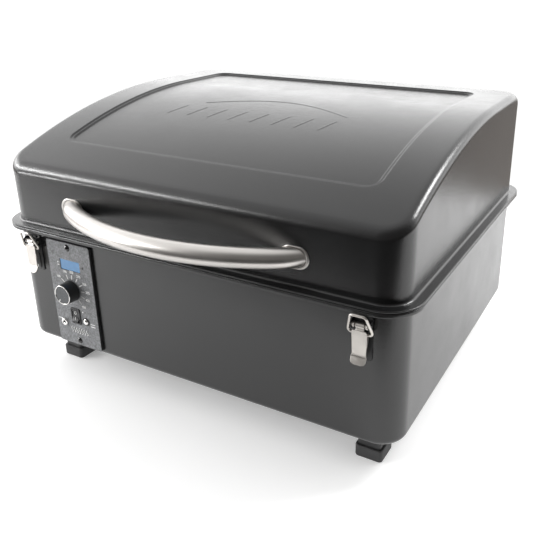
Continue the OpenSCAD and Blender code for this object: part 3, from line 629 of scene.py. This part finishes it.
def panel_loops(skin_t):
    """Loops down the sunken panel's edge, from the crown to the panel."""
    loops = []
    for out, share in PANEL_STEP:
        grow = out + skin_t
        ring = loop_points(PANEL_HALF_X + grow, PANEL_HALF_Y + grow, PANEL_R + grow, MID_Y + PANEL_Y)
        drop = PANEL_DROP * share + skin_t
        loops.append([Vector((p.x, p.y, crown(p.y) - drop)) for p in ring])
    return loops


def between(a, b, share, skin_t):
    """Loop on the crown part of the way from loop a to loop b."""
    flat = [p.lerp(q, share) for p, q in zip(a, b)]
    return [Vector((p.x, p.y, crown(p.y) - skin_t)) for p in flat]


def lid_shell():
    skin = Skin()

    def panel_grid(skin_t):
        grow = skin_t - PANEL_SLOPE
        skin.grid(PANEL_HALF_X + grow, PANEL_HALF_Y + grow, PANEL_R + grow, MID_Y + PANEL_Y,
                  lambda y: crown(y) - PANEL_DROP - skin_t)

    def cap(skin_t):
        """Loops from the panel out to the shoulder's foot."""
        steps = panel_loops(skin_t)[::-1]
        arcs = [shoulder_loop(a, skin_t) for a in degrees(90, 0, 8)]
        middle_loops = [between(steps[-1], arcs[0], share, skin_t) for share in (0.1, 0.5, 0.9)]
        return steps + middle_loops + arcs

    panel_grid(0)
    top_z = lid_lo.z + FLANGE_T
    skin.add(*cap(0))
    for z in LID_LEVELS:
        skin.add(body_loop(lambda y: 0, lambda y, wall_y: min(z, crown(wall_y) - shoulder_r(wall_y) - 1)))
    skin.add(*round_loops(-FLANGE_FILLET, top_z + FLANGE_FILLET, FLANGE_FILLET, 180, 270, 5))
    edge_r = FLANGE_T / 2
    skin.add(*round_loops(-(RIM_OUT - edge_r), lid_lo.z + edge_r, edge_r, 90, -90, 6))
    skin.add(level_loop(SHEET + 0.3, lid_lo.z))
    skin.add(level_loop(SHEET, lid_lo.z + 0.4))
    skin.add(level_loop(SHEET, LID_LEVELS[-1]))
    skin.add(*cap(SHEET)[::-1])
    panel_grid(SHEET)
    lid = Build().shell(skin.verts, skin.faces)
    lid = lid.finish("lid_shell_formed", "black_powder_coat", "lid", ["lid_shell"])
    cut(lid, slot_row(SMOKE_SLOTS, (0, SMOKE_SLOTS_Z), 1, REAR - 5, REAR + 5))


def base_tub():
    skin = Skin()

    def floor_grid(inset, z):
        skin.grid(HALF_W - inset, HALF_D - inset, CORNER_R - inset, MID_Y, lambda y: z)

    low = tub_lo.z
    floor_grid(TUB_EDGE_R, low)
    skin.add(*round_loops(TUB_EDGE_R, low + TUB_EDGE_R, TUB_EDGE_R, -90, 0, 8))
    top = tub_hi.z
    under = top - SHEET
    skin.add(level_loop(0, TUB_LEVEL))
    skin.add(*round_loops(-1, under - 1, 1, 180, 90, 3))
    lip_mid = RIM_OUT - SHEET / 2
    skin.add(*round_loops(-(RIM_OUT - SHEET - 1), under - 1, 1, 90, 0, 3))
    skin.add(*round_loops(-lip_mid, top - LIP_H + SHEET / 2, SHEET / 2, 180, 360, 6))
    skin.add(*round_loops(-(RIM_OUT - RIM_EDGE_R), top - RIM_EDGE_R, RIM_EDGE_R, 0, 90, 5))
    skin.add(*round_loops(-0.7, top - 2.2, 2.2, 90, 180, 4))
    skin.add(level_loop(SHEET, TUB_LEVEL))
    skin.add(*round_loops(TUB_EDGE_R, low + TUB_EDGE_R, TUB_EDGE_R - SHEET, 0, -90, 6))
    floor_grid(TUB_EDGE_R, low + SHEET)
    tub = Build().shell(skin.verts, skin.faces)
    tub = tub.finish("base_tub_formed", "black_powder_coat", "base", ["base_tub"])
    fan = middle("fan_housing")
    holes = slot_row(FAN_SLOTS, (FAN_SLOTS_X, fan.y), 2, low - 3, low + 5)
    left, right = box("power_inlet")
    holes.block((left.x + 10.5, REAR - 4, left.z + 1), (right.x - 10.5, REAR + 3, right.z - 1))
    left, right = box("controller_case")
    holes.block((left.x - 1, FRONT - 3, left.z - 1), (right.x + 1, FRONT + 4, right.z + 1))
    cut(tub, holes)


def lid_motif():
    """A low arc over a row of slanted ribs on the sunken panel: a plain stand-in for an embossed mark."""
    motif = Build()
    wire, sunk, flat = 1.25, 0.25, 0.33
    ribs, pitch, first_x, front_y = 8, 29, -118, -58
    lean, length = 9, 26
    arc_x, arc_wide, arc_y, arc_tall = -92, 190, -16, 30

    def stroke(steps, place):
        path = []
        for i in range(steps + 1):
            x, y = place(i / steps)
            path.append((x, MID_Y + y, crown(MID_Y + y) - PANEL_DROP - wire * sunk))
        motif.tube(path, wire, 16)

    for k in range(ribs):
        x = first_x + pitch * k
        stroke(8, lambda t: (x + lean * t, front_y + length * t))
    stroke(40, lambda t: (arc_x + arc_wide * t, arc_y + arc_tall * sin(pi * t)))
    for vert in motif.bm.verts:
        level = crown(vert.co.y) - PANEL_DROP
        vert.co.z = level + (vert.co.z - level) * flat
    motif.finish("lid_motif", "black_powder_coat", "lid")


# ---------- handle ----------


def handle():
    low, high = box("handle_tube")
    radius = (high.z - low.z) / 2
    level = (low.z + high.z) / 2
    end_x = box("handle_bezels")[1].x - BEZEL_HALF
    turn = radians(END_ANGLE)
    bend_x, bend_y = end_x - BEND_R * cos(turn), FRONT + BEND_R * sin(turn)
    bow_y = low.y + radius + BOW_R
    bend = [(bend_x + BEND_R * cos(a), bend_y + BEND_R * sin(a), level)
            for a in degrees(BOW_ANGLE - 90, 14 - END_ANGLE, 24)]
    bow = [(BOW_R * cos(a), bow_y + BOW_R * sin(a), level)
           for a in degrees(-90 - BOW_ANGLE, -90 + BOW_ANGLE, 60)]
    path = [(-x, y, z) for x, y, z in reversed(bend)] + bow[1:-1] + bend
    tube = Build().tube(path, radius, 64, round_ends=False).trim((0, FRONT, 0), (0, 1, 0))
    tube.finish("handle_tube_bent", "stainless", "lid", ["handle_tube"])
    bezel_t = (FRONT - box("handle_bezels")[0].y) * BEZEL_SHARE
    hole_r, rim_r = radius + BEZEL_GAP, BEZEL_R - 0.6
    # How far each loop of a bezel has gone from its rim to its hole, and its share of the height
    profile = ((0, 0), (0, 0.55), (0.1, 0.82), (0.3, 0.97), (0.5, 1),
               (0.75, 0.96), (0.95, 0.8), (1, 0.6), (1, 0))
    rings = Build()
    for side in (-1, 1):
        loops = []
        for share, height in profile:
            y = FRONT - bezel_t * height
            loop = []
            for k in range(72):
                a = 2 * pi * k / 72
                run = BEND_R + hole_r * cos(a)
                hole_x = bend_x + sqrt(run**2 - (y - bend_y) ** 2)
                rim_x = end_x + rim_r * cos(a) + math.copysign(BEZEL_HALF - BEZEL_R, cos(a))
                x = rim_x + (hole_x - rim_x) * share
                z = sin(a) * (rim_r + (hole_r - rim_r) * share)
                loop.append(Vector((side * x, y, level + z)))
            loops.append(loop)
        rings.loft(loops, closed=True)
    rings.finish("handle_bezels_turned", "stainless", "lid", ["handle_bezels"])


# ---------- latches ----------


def lever_plate(px, py, pz):
    """Tapering sheet lever with a turned-out round-cornered lip, a rolled barrel and two cheeks."""
    lever = Build()
    face = py - 2.55
    wide, taper = 7.45, 0.17
    lip_wide, lip_long, lip_r = 7.35, 7.9, 4.2
    barrel_r, barrel_half = 2.9, 4.3
    out = Vector((0, -3.8, -6.9)).normalized()
    bend = Vector((px, face, pz - 29.3))
    path = [(px, face, pz - 3.9, 6.6), (px, face, pz - 4.6, 7.2), (px, face, pz - 5.6, 7.4)]
    path += [(px, face, pz - 7 - 4.8 * i, wide - taper * i) for i in range(5)]
    path += [(*(bend + Vector((0, 0, 1.4))), 6.9), (*(bend + out * 0.5), lip_wide)]
    for i in range(9):
        s = 1.5 + (lip_long - 1.5) * i / 8
        over = max(s - (lip_long - lip_r), 0)
        half = wide - (lip_r - sqrt(max(lip_r**2 - over**2, 0)))
        path.append((*(bend + out * s), half))
    lever.ribbon(path, 1.2)
    neck = [(px, py - 0.6, pz - 2.2, 3.9), (px, py - 1.2, pz - 3.2, 3.9),
            (px, py - 2.2, pz - 4.2, 4.2), (px, py - 2.5, pz - 5.4, 4.4)]
    lever.ribbon(neck, 1.0)
    rolled = [(1.5, -barrel_half), (barrel_r - 0.3, -barrel_half), (barrel_r, 0.3 - barrel_half)]
    rolled += [(r, -height) for r, height in reversed(rolled)]
    lever.lathe(rolled, (px, py, pz), (1, 0, 0), 32, closed=True)
    for side in (-1, 1):
        x = px + side * 6.75
        cheek = [(py - 2.4, pz - 5.6), (py + 1.5, pz - 5.6), (py + 1.5, pz - 10.5),
                 (py - 0.4, pz - 17), (py - 2.4, pz - 20)]
        lever.prism(cheek, 0, x - 0.55, x + 0.55, 0.3)
    return lever


def bail_wire(bail):
    """Rounded wire bail whose ends turn in through the lever's cheeks."""
    half, bar, tall, end, lean = 12.0, 7.2, 21.2, 5.8, radians(18)
    flat = [(-end, 0), (-half, 0), (-half + 0.9, 6), (-bar, tall)]
    flat += [(-x, up) for x, up in reversed(flat)]
    path = []
    for x, up in flat:
        path.append((bail.x + x, bail.y - up * sin(lean), bail.z + up * cos(lean)))
    return Build().tube(rounded_path(path, (3.2, 6, 3.4, 3.4, 6, 3.2)), 1.25, 16)


def latch_backing(px, py, pz, plate):
    """Adds a stamped plate on the wall with a rib and a catch tongue, and two ears for the pin."""
    low, high = box("latch_plates")
    mid_z, half_z = (low.z + high.z) / 2, (high.z - low.z) / 2
    plate.prism(rect_outline((px, mid_z), (9.5, half_z), 2), 1, FRONT - 1.2, FRONT, 0.3)
    plate.prism(rect_outline((px, mid_z - 10), (5.5, 9), 1.2), 1, FRONT - 1.9, FRONT - 1.0, 0.5)
    plate.prism(rect_outline((px, pz + 5.3), (5.0, 1.3), 1.0), 1, FRONT - 2.6, FRONT - 1.0, 0.4)
    ear_y, ear_r, half_flat = py + 0.8, 3.4, 1.2
    for side in (-1, 1):
        outline = [(FRONT - 1, pz - 4.6)]
        for a in degrees(0, 90, 5):
            outline.append((ear_y - ear_r * sin(a), pz - half_flat - ear_r * cos(a)))
        for a in degrees(0, 90, 5):
            outline.append((ear_y - ear_r * cos(a), pz + half_flat + ear_r * sin(a)))
        outline.append((FRONT - 1, pz + 4.6))
        x = px + side * 8.95
        plate.prism(outline, 0, x - 0.5, x + 0.5, 0.2)


def latches():
    plates, rivets, springs = Build(), Build(), Build()
    turns, coil_r, wire_r, steps = 2.4, 2.15, 0.55, 60
    for name in ("left", "right"):
        px, py, pz = pivot(f"lever_{name}_swing")
        lever = f"latch_lever_{name}"
        lever_plate(px, py, pz).finish(f"{lever}_pressed", "satin_nickel", f"lever_{name}", [lever])
        bail = f"latch_bail_{name}"
        wire = bail_wire(pivot(f"bail_{name}_swing"))
        wire.finish(f"{bail}_bent", "satin_nickel", f"bail_{name}", [bail])
        latch_backing(px, py, pz, plates)
        for drop in (19, 31):
            rivets.dome((px, FRONT - 1.2, pz - drop), (0, -1, 0), 2.8, 0.9)
        for end in (-1, 1):
            coil = []
            for i in range(steps + 1):
                a = 2 * pi * turns * i / steps
                x = px + end * (5.4 + 2.4 * i / steps)
                coil.append((x, py + coil_r * cos(a), pz + coil_r * sin(a)))
            springs.tube(coil, wire_r, 10)
    plates.finish("latch_backing_plates", "dark_steel", "base", ["latch_plates"])
    rivets.finish("latch_rivet_heads", "zinc_steel", "base", ["latch_rivets"])
    springs.finish("latch_coil_springs", "satin_nickel", "base", ["latch_springs"])


# ---------- control panel ----------


def faceplate():
    half = ((plate_hi.x - plate_lo.x) / 2, (plate_hi.z - plate_lo.z) / 2)
    centre = ((plate_lo.x + plate_hi.x) / 2, (plate_lo.z + plate_hi.z) / 2)
    face = Build().prism(rect_outline(centre, half, 2.5), 1, FACE_Y, FRONT, 0.45, 3)
    face = face.finish("control_faceplate_painted", "faceplate_paint", "base", ["control_faceplate"])
    window = middle("display_window")
    holes = Build()
    holes.prism(rect_outline((window.x, window.z), WINDOW_HALF, 0.6), 1, FACE_Y - 2, FRONT + 1)
    bores = ((pivot("knob_turn"), 4.8), (middle("probe_jack"), 3.2), (middle("prime_button"), 3.75))
    for place, radius in bores:
        holes.lathe([(0, -2), (radius, -2), (radius, 5), (0, 5)], (place.x, FACE_Y, place.z), (0, 1, 0), 32)
    switch = middle("switch_bezel")
    holes.block((switch.x - 6.3, FACE_Y - 2, switch.z - 9.3), (switch.x + 6.3, FRONT + 1, switch.z + 9.3))
    cut(face, holes)
    outline = rect_outline(centre, (half[0] - 2, FACE_HOLLOW_HALF_Z), 1.5)
    hollow = Build().prism(outline, 1, FACE_Y + FACE_SKIN, FRONT + 1)
    cut(face, hollow)
    # The faces that don't look forward take the dark steel finish: painted shade along the plate's side faces
    face.data.materials.append(MATERIALS["dark_steel"])
    for polygon in face.data.polygons:
        if polygon.normal.y > -0.5:
            polygon.material_index = 1


def printed(text, x, z):
    """Printed text as a thin raised solid on the faceplate."""
    curve = bpy.data.curves.new("print", "FONT")
    curve.body = text
    curve.size = NUMBER_SIZE
    curve.align_x = "CENTER"
    curve.align_y = "CENTER"
    curve.extrude = PRINT_OUT / 2
    curve.offset = 0.14
    curve.resolution_u = 3
    glyph = bpy.data.objects.new("print", curve)
    mesh = bpy.data.meshes.new_from_object(glyph)
    bpy.data.objects.remove(glyph)
    place = Matrix.Translation((x, FACE_Y - PRINT_OUT / 2 + PRINT_IN, z))
    mesh.transform(place @ Matrix.Rotation(pi / 2, 4, "X"))
    return mesh


def dial_marks():
    """Ticks round the knob with plain numbers, and small marks that carry no words."""
    at = pivot("knob_turn")
    prints, shaded_ticks = Build(), Build()
    depth = (1, FACE_Y - PRINT_OUT, FACE_Y + PRINT_IN)
    for k, (angle, number) in enumerate(DIAL):
        a = radians(angle)
        along = Vector((cos(a), 0, sin(a)))
        across = Vector((-sin(a), 0, cos(a))) * TICK_HALF
        start, end = along * TICK_FROM, along * TICK_TO
        ends = (start - across, end - across, end + across, start + across)
        # Ticks from SHADED_TICKS_FROM on are printed grey: painted shade of the knob's shadow
        tick = prints if k < SHADED_TICKS_FROM else shaded_ticks
        tick.prism([(at.x + e.x, at.z + e.z) for e in ends], *depth)
        x, z = at.x + NUMBERS_AT[0] * cos(a), at.z + NUMBERS_AT[1] * sin(a)
        mesh = printed(number, x, z)
        prints.bm.from_mesh(mesh)
        bpy.data.meshes.remove(mesh)
    for x, z, half in ((-158.0, 99.1, 0.7), (-140.6, 91.2, 0.9), (-169.3, 148.6, 0.8)):
        prints.prism(rect_outline((x, z), (half, half), half * 0.6, 3), *depth)
    for x, z, wide in ((-179.2, 75.5, 2.9), (-127.0, 78.6, 3.6), (-127.0, 75.6, 3.6), (-169.0, 145.4, 1.5)):
        prints.prism(rect_outline((x, z), (wide, 0.5), 0.45, 3), *depth)
    for k in range(7):
        x = -161.5 + 3.9 * k
        wave = []
        for i in range(13):
            t = i / 12
            wave.append((x + 1.2 * sin(2 * pi * t), FACE_Y - 0.05, 61.6 + 6.6 * t))
        prints.tube(wave, 0.5, 8)
    bmesh.ops.remove_doubles(prints.bm, verts=prints.bm.verts, dist=0.0005)
    prints.finish("dial_prints", "white_print", "base", slot="faceplate_paint")
    # The grey ticks carry painted shade of the knob's shadow
    shaded_ticks.finish("dial_ticks_in_painted_shade", "painted_shade_print", "base", slot="faceplate_paint")


def knob():
    at = pivot("knob_turn")
    centre = (at.x, FACE_Y, at.z)
    low, high = box("knob_body")
    radius = (high.x - low.x) / 2
    tall = FACE_Y - box("knob_cap")[0].y
    out = (0, -1, 0)
    side = radius - 0.35
    profile = [(6.6, 0.6), (radius - 0.4, 0.6), (radius, 1.0), (radius, 3.2), (side, 3.7),
               (side, tall - 1.6), (radius - 0.8, tall - 0.9), (10.2, tall - 0.9), (10.2, tall - 3),
               (3.1, tall - 3), (3.1, 5), (6.6, 4.6)]
    skirt = Build().lathe(profile, centre, out, 72, closed=True)
    skirt.finish("knob_skirt", "knob_plastic", "knob", ["knob_body"])
    rim = [(10.3, tall - 2), (radius - 0.9, tall - 1.0), (radius - 0.75, tall - 0.5),
           (radius - 1.1, tall - 0.1), (radius - 1.5, tall - 0.05), (10.3, tall - 0.6)]
    Build().lathe(rim, centre, out, 72, closed=True).finish("knob_rim", "bright_metal", "knob")
    disc_r, disc_top, rings = 10.45, tall - 0.55, 24
    grooves = [(0, disc_top)]
    for i in range(1, rings + 1):
        grooves.append((disc_r * i / rings, disc_top + (0.05 if i % 2 else 0)))
    grooves.append((disc_r, tall - 1.5))
    disc = Build().lathe(grooves, centre, out, 72)
    disc.finish("knob_disc", "knob_metal", "knob", ["knob_cap"], sharp=60)
    pointer = Build().block((-0.55, -tall + 0.35, 7.2), (0.55, -tall + 0.75, 10.9), 0.12)
    pointer.move(Matrix.Translation(centre) @ Matrix.Rotation(radians(-145), 4, "Y"))
    pointer.finish("knob_pointer", "white_print", "knob", slot="bright_metal")


def rocker_switch():
    at = pivot("rocker_rock")
    low, high = box("switch_bezel")
    mid = ((low.x + high.x) / 2, (low.z + high.z) / 2)
    outer = ((high.x - low.x) / 2, (high.z - low.z) / 2)
    loops = []
    for inset, out in ((0, 0), (0, 0.9), (0.35, 1.35), (1.3, 1.4), (1.75, 1.1),
                       (2.0, 0.4), (2.0, -20), (0.8, -20), (0.8, 0)):
        half = (outer[0] - inset, outer[1] - inset)
        loop = rect_outline(mid, half, max(1.5 - inset * 0.5, 0.3), 4)
        loops.append([Vector((u, FACE_Y - out, v)) for u, v in loop])
    bezel = Build().loft(loops, closed=True)
    bezel.finish("switch_frame", "switch_plastic", "base", ["switch_bezel"])
    tilt = Matrix.Translation(at) @ Matrix.Rotation(radians(-8), 4, "X")
    front = [(-4.75 - 1.35 * abs(z / 7) ** 1.7, z) for z in [7 * (i / 8 - 1) for i in range(17)]]
    rocker = Build().prism(front + [(0.2, 5.6), (3, 0), (0.2, -5.6)], 0, -4.7, 4.7, 0.35, 2)
    rocker.lathe([(0, -5.9), (0.95, -5.9), (0.95, 5.9), (0, 5.9)], (0, 0, 0), (1, 0, 0), 20)
    rocker.move(tilt).finish("switch_rocker_moulded", "switch_plastic", "rocker", ["switch_rocker"])
    marks = Build()
    ring = [(1.25, 5.2), (1.75, 5.2), (1.75, 5.55), (1.25, 5.55)]
    marks.lathe(ring, (0, 0, 3.4), (0, -1, 0), 28, closed=True)
    marks.block((-0.28, -5.55, -5.0), (0.28, -5.1, -1.9), 0.05)
    marks.move(tilt).finish("switch_marks", "white_print", "rocker", slot="switch_plastic")


def panel_fittings():
    def turned(node, profile, closed=False, sides=40):
        """A turned shape on the faceplate, at the middle of a CAD node."""
        at = middle(node)
        return Build().lathe(profile, (at.x, FACE_Y, at.z), (0, -1, 0), sides, closed=closed)

    ring = [(1.8, -12), (1.8, 1.6), (2.1, 2.0), (2.5, 2.2), (3.6, 2.2), (4.2, 1.9), (4.5, 1.3), (4.5, 0),
            (3.0, 0), (3.0, -12)]
    jack = turned("probe_jack", ring, closed=True)
    jack.finish("probe_jack_turned", "bright_metal", "base", ["probe_jack"])
    dome = [(0, 2.4), (1.4, 2.3), (2.6, 1.95), (3.3, 1.4), (3.6, 0.7), (3.6, -2), (4.8, -2), (4.8, -3),
            (0, -3)]
    button = turned("prime_button", dome)
    button.finish("prime_button_domed", "bright_metal", "prime_button", ["prime_button"])
    edge = [(3.75, -1), (3.75, 0.55), (4.1, 0.7), (4.9, 0.6), (5.1, 0.2), (5.1, 0), (3.9, -1)]
    collar = turned("prime_button", edge, closed=True)
    collar.finish("prime_button_collar", "dark_steel", "base")
    heads = Build()
    low, high = box("panel_screws")
    radius = (high.x - low.x) / 2
    for z in (low.z + radius, high.z - radius):
        heads.dome(((low.x + high.x) / 2, FACE_Y, z), (0, -1, 0), radius * 1.2, 2.4)
    heads.finish("panel_screw_heads", "gloss_black", "base", ["panel_screws"], slot="dark_steel")
    window = middle("display_window")
    half = (WINDOW_HALF[0] - 0.1, WINDOW_HALF[1] - 0.1)
    # Its finish glows: painted light, the display is not lit
    lens = Build().prism(rect_outline((window.x, window.z), half, 0.6), 1, FACE_Y + 0.55, FACE_Y + 1.9, 0.2)
    lens.finish("display_lens_moulded", "display_lens", "base", ["display_window"])
    led = [(0, 0.45), (0.9, 0.38), (1.5, 0.2), (1.75, -0.1), (1.2, -1), (1.2, -18), (0, -18)]
    light = turned("status_light", led, sides=24)
    light.finish("status_light_domed", "led_plastic", "base", ["status_light"])


# ---------- feet, grate and tray ----------


def rect_loops(mid, half, radius, profile, steps, least=0):
    """Level round-cornered loops. The profile holds pairs of inset and height."""
    loops = []
    for inset, z in profile:
        inner = (half[0] - inset, half[1] - inset)
        loop = rect_outline(mid, inner, max(radius - inset, least), steps)
        loops.append([Vector((u, v, z)) for u, v in loop])
    return loops


def feet():
    pads = Build()
    low, high = box("foot_pads")
    half = 14.75
    core = half * 0.55
    profile = ((1.4, 0), (0.4, 0.5), (0, 1.4), (0, high.z - 1.2), (0.35, high.z - 0.35),
               (1.1, high.z), (2.0, high.z), (2.1, high.z - 0.6), (2.1, 6))
    for sx in (-1, 1):
        for sy in (-1, 1):
            x = sx * (high.x - half)
            y = MID_Y + sy * ((high.y - low.y) / 2 - half)
            pads.loft(rect_loops((x, y), (half, half), 4, profile, 5, least=1.5))
            pads.block((x - core, y - core, 0.02), (x + core, y + core, 3), 0.3)
    pads.finish("foot_pads_moulded", "rubber", "base", ["foot_pads"])


def grate():
    low, high = box("grill_grate")
    mid, half = (low + high) / 2, (high - low) / 2
    top, under = high.z, low.z
    rim = ((0, under + 1.2), (0, top - 1.5), (0.8, top - 0.3), (2, top), (4, top),
           (5.2, top - 0.4), (6, top - 1.5), (6, under + 1.2), (5, under), (1, under))
    made = Build().loft(rect_loops(mid.xy, half.xy, 18, rim, 8), closed=True)
    bars, bar_h = 23, 4.5
    profile = [(-1.5, 0), (1.5, 0), (2.2, 1.2), (2.2, 3.1), (1.5, 4.2), (0.6, bar_h),
               (-0.6, bar_h), (-1.5, 4.2), (-2.2, 3.1), (-2.2, 1.2)]
    for i in range(1, bars + 1):
        x = low.x + i * 2 * half.x / (bars + 1)
        made.prism([(x + u, top - bar_h + v) for u, v in profile], 1, low.y + 5, high.y - 5)
    for y in (mid.y - half.y / 2, mid.y, mid.y + half.y / 2):
        made.block((low.x + 5, y - 3, under), (high.x - 5, y + 3, under + 2.6), 0.8)
    made.finish("grill_grate_cast", "enamel", "grate", ["grill_grate"])


def tray():
    low, high = box("drip_tray")
    mid, half = (low + high) / 2, (high - low) / 2
    top, under = high.z, low.z
    profile = ((7, under), (2.5, under + 1.2), (1.2, under + 4), (1.0, top - 2.4), (0.2, top - 1.8),
               (0, top - 0.9), (0.4, top - 0.2), (1.2, top), (2.1, top - 0.3), (2.5, top - 1.0),
               (2.6, under + 4.5), (4.0, under + 2.6), (8, under + 1.5))
    pressed = Build().loft(rect_loops(mid.xy, half.xy, 20, profile, 10))
    pressed.finish("drip_tray_pressed", "enamel", "base", ["drip_tray"])


def carried_over():
    """CAD nodes that stay: welded, with softened edges and a finish of their own."""
    widths = {
        "legs": 0.5, "controller_board": 0.1, "igniter_rod": 0.6, "auger_gearmotor": 1.2,
        "fan_motor": 0.5, "hopper_lid_knob": 0.9, "power_inlet": 0.45, "hinge_leaves_base": 0.45,
        "hinge_leaves_lid": 0.45, "hinge_pins": 0.3, "auger_flight": 0.15, "dial_encoder": 0.4,
        "controller_case": 0.8}
    slots = {part["node"]: part["material_slot"] for part in frame["record"]["subparts"]}
    for name, obj in frame["nodes"].items():
        if obj.hide_render:
            continue
        obj.data.materials.clear()
        obj.data.materials.append(MATERIALS[slots[name]])
        weld = obj.modifiers.new("weld", "WELD")
        weld.merge_threshold = 0.002 * MM
        bevel = obj.modifiers.new("bevel", "BEVEL")
        bevel.width = widths.get(name, 0.25) * MM
        bevel.segments = 2
        bevel.limit_method = "ANGLE"
        bevel.angle_limit = radians(BEVEL_FROM_DEG + 10)
        weighted = obj.modifiers.new("weighted", "WEIGHTED_NORMAL")
        weighted.keep_sharp = True


# ---------- stage ----------


def area_light(name, place, target, size, power):
    data = bpy.data.lights.new(name, "AREA")
    data.shape = "RECTANGLE"
    data.size, data.size_y = size
    data.energy = power
    light = bpy.data.objects.new(name, data)
    light.location = place
    light.rotation_euler = (Vector(target) - Vector(place)).to_track_quat("-Z", "Y").to_euler()
    light.visible_camera = False
    bpy.context.scene.collection.objects.link(light)


def paper_floor():
    floor = Build().prism(rect_outline((0, 0), PAPER_HALF, 60), 2, *PAPER_Z)
    floor.move(Matrix.Translation((*PAPER_MID, 0)) @ Matrix.Rotation(radians(PAPER_TURN), 4, "Z"))
    ground = floor.as_object("floor")
    paper = finish_of("paper", (0.9, 0.9, 0.9), 0.8, patch=2, vary=0.01, spread=0.02, glow=0.3)
    ground.data.materials.append(paper)


def room():
    """What surrounds the object: a room, bright behind and darker in front, over a brownish ground.

    The camera sees the plain backdrop instead.
    """
    world = bpy.data.worlds.new("studio")
    world.use_nodes = True
    tree = world.node_tree
    link = tree.links.new
    coords = tree.nodes.new("ShaderNodeTexCoord")
    split = tree.nodes.new("ShaderNodeSeparateXYZ")
    link(coords.outputs["Generated"], split.inputs["Vector"])
    across = tree.nodes.new("ShaderNodeVectorMath")
    across.operation = "DOT_PRODUCT"
    across.inputs[1].default_value = BACKWARDS
    link(coords.outputs["Generated"], across.inputs[0])
    rays = tree.nodes.new("ShaderNodeLightPath")

    def share_of(value, start, end, smooth="LINEAR"):
        share = node(tree, "ShaderNodeMapRange", From_Min=start, From_Max=end)
        share.interpolation_type = smooth
        link(value, share.inputs["Value"])
        return share.outputs["Result"]

    def mixed(share, first, second):
        mix = tree.nodes.new("ShaderNodeMix")
        mix.data_type = "RGBA"
        link(share, mix.inputs["Factor"])
        for socket, value in (("A", first), ("B", second)):
            if isinstance(value, tuple):
                mix.inputs[socket].default_value = (*value, 1)
            else:
                link(value, mix.inputs[socket])
        return mix.outputs["Result"]

    behind = share_of(across.outputs["Value"], -0.45, 0.35, "SMOOTHSTEP")
    low = share_of(split.outputs["Z"], 0.85, 0.05)
    above = share_of(split.outputs["Z"], -0.03, 0.05)
    walls = mixed(behind, ROOM_FRONT, mixed(low, ROOM_TOP, ROOM_BACK))
    surround = mixed(above, mixed(behind, GROUND_FRONT, GROUND_BACK), walls)
    shown = mixed(rays.outputs["Is Camera Ray"], surround, BACKDROP)
    link(shown, tree.nodes["Background"].inputs["Color"])
    bpy.context.scene.world = world


def camera():
    """Close to the photo's view: 28 degrees round from the front and 20.7 up."""
    data = bpy.data.cameras.new("camera")
    data.sensor_width = 36.0
    data.lens = 44.643
    data.shift_x, data.shift_y = -0.1021, -0.0793
    data.clip_end = 50
    eye = bpy.data.objects.new("camera", data)
    eye.location = (0.41196, -0.64972, 0.45068)
    eye.rotation_euler = (radians(69.316), 0, radians(28.006))
    bpy.context.scene.collection.objects.link(eye)
    bpy.context.scene.camera = eye


camera()
lid_shell()
base_tub()
lid_motif()
handle()
latches()
faceplate()
dial_marks()
knob()
rocker_switch()
panel_fittings()
feet()
grate()
tray()
carried_over()
paper_floor()
room()
for light in LIGHTS:
    area_light(*light)
bpy.context.scene.view_settings.view_transform = "Standard"
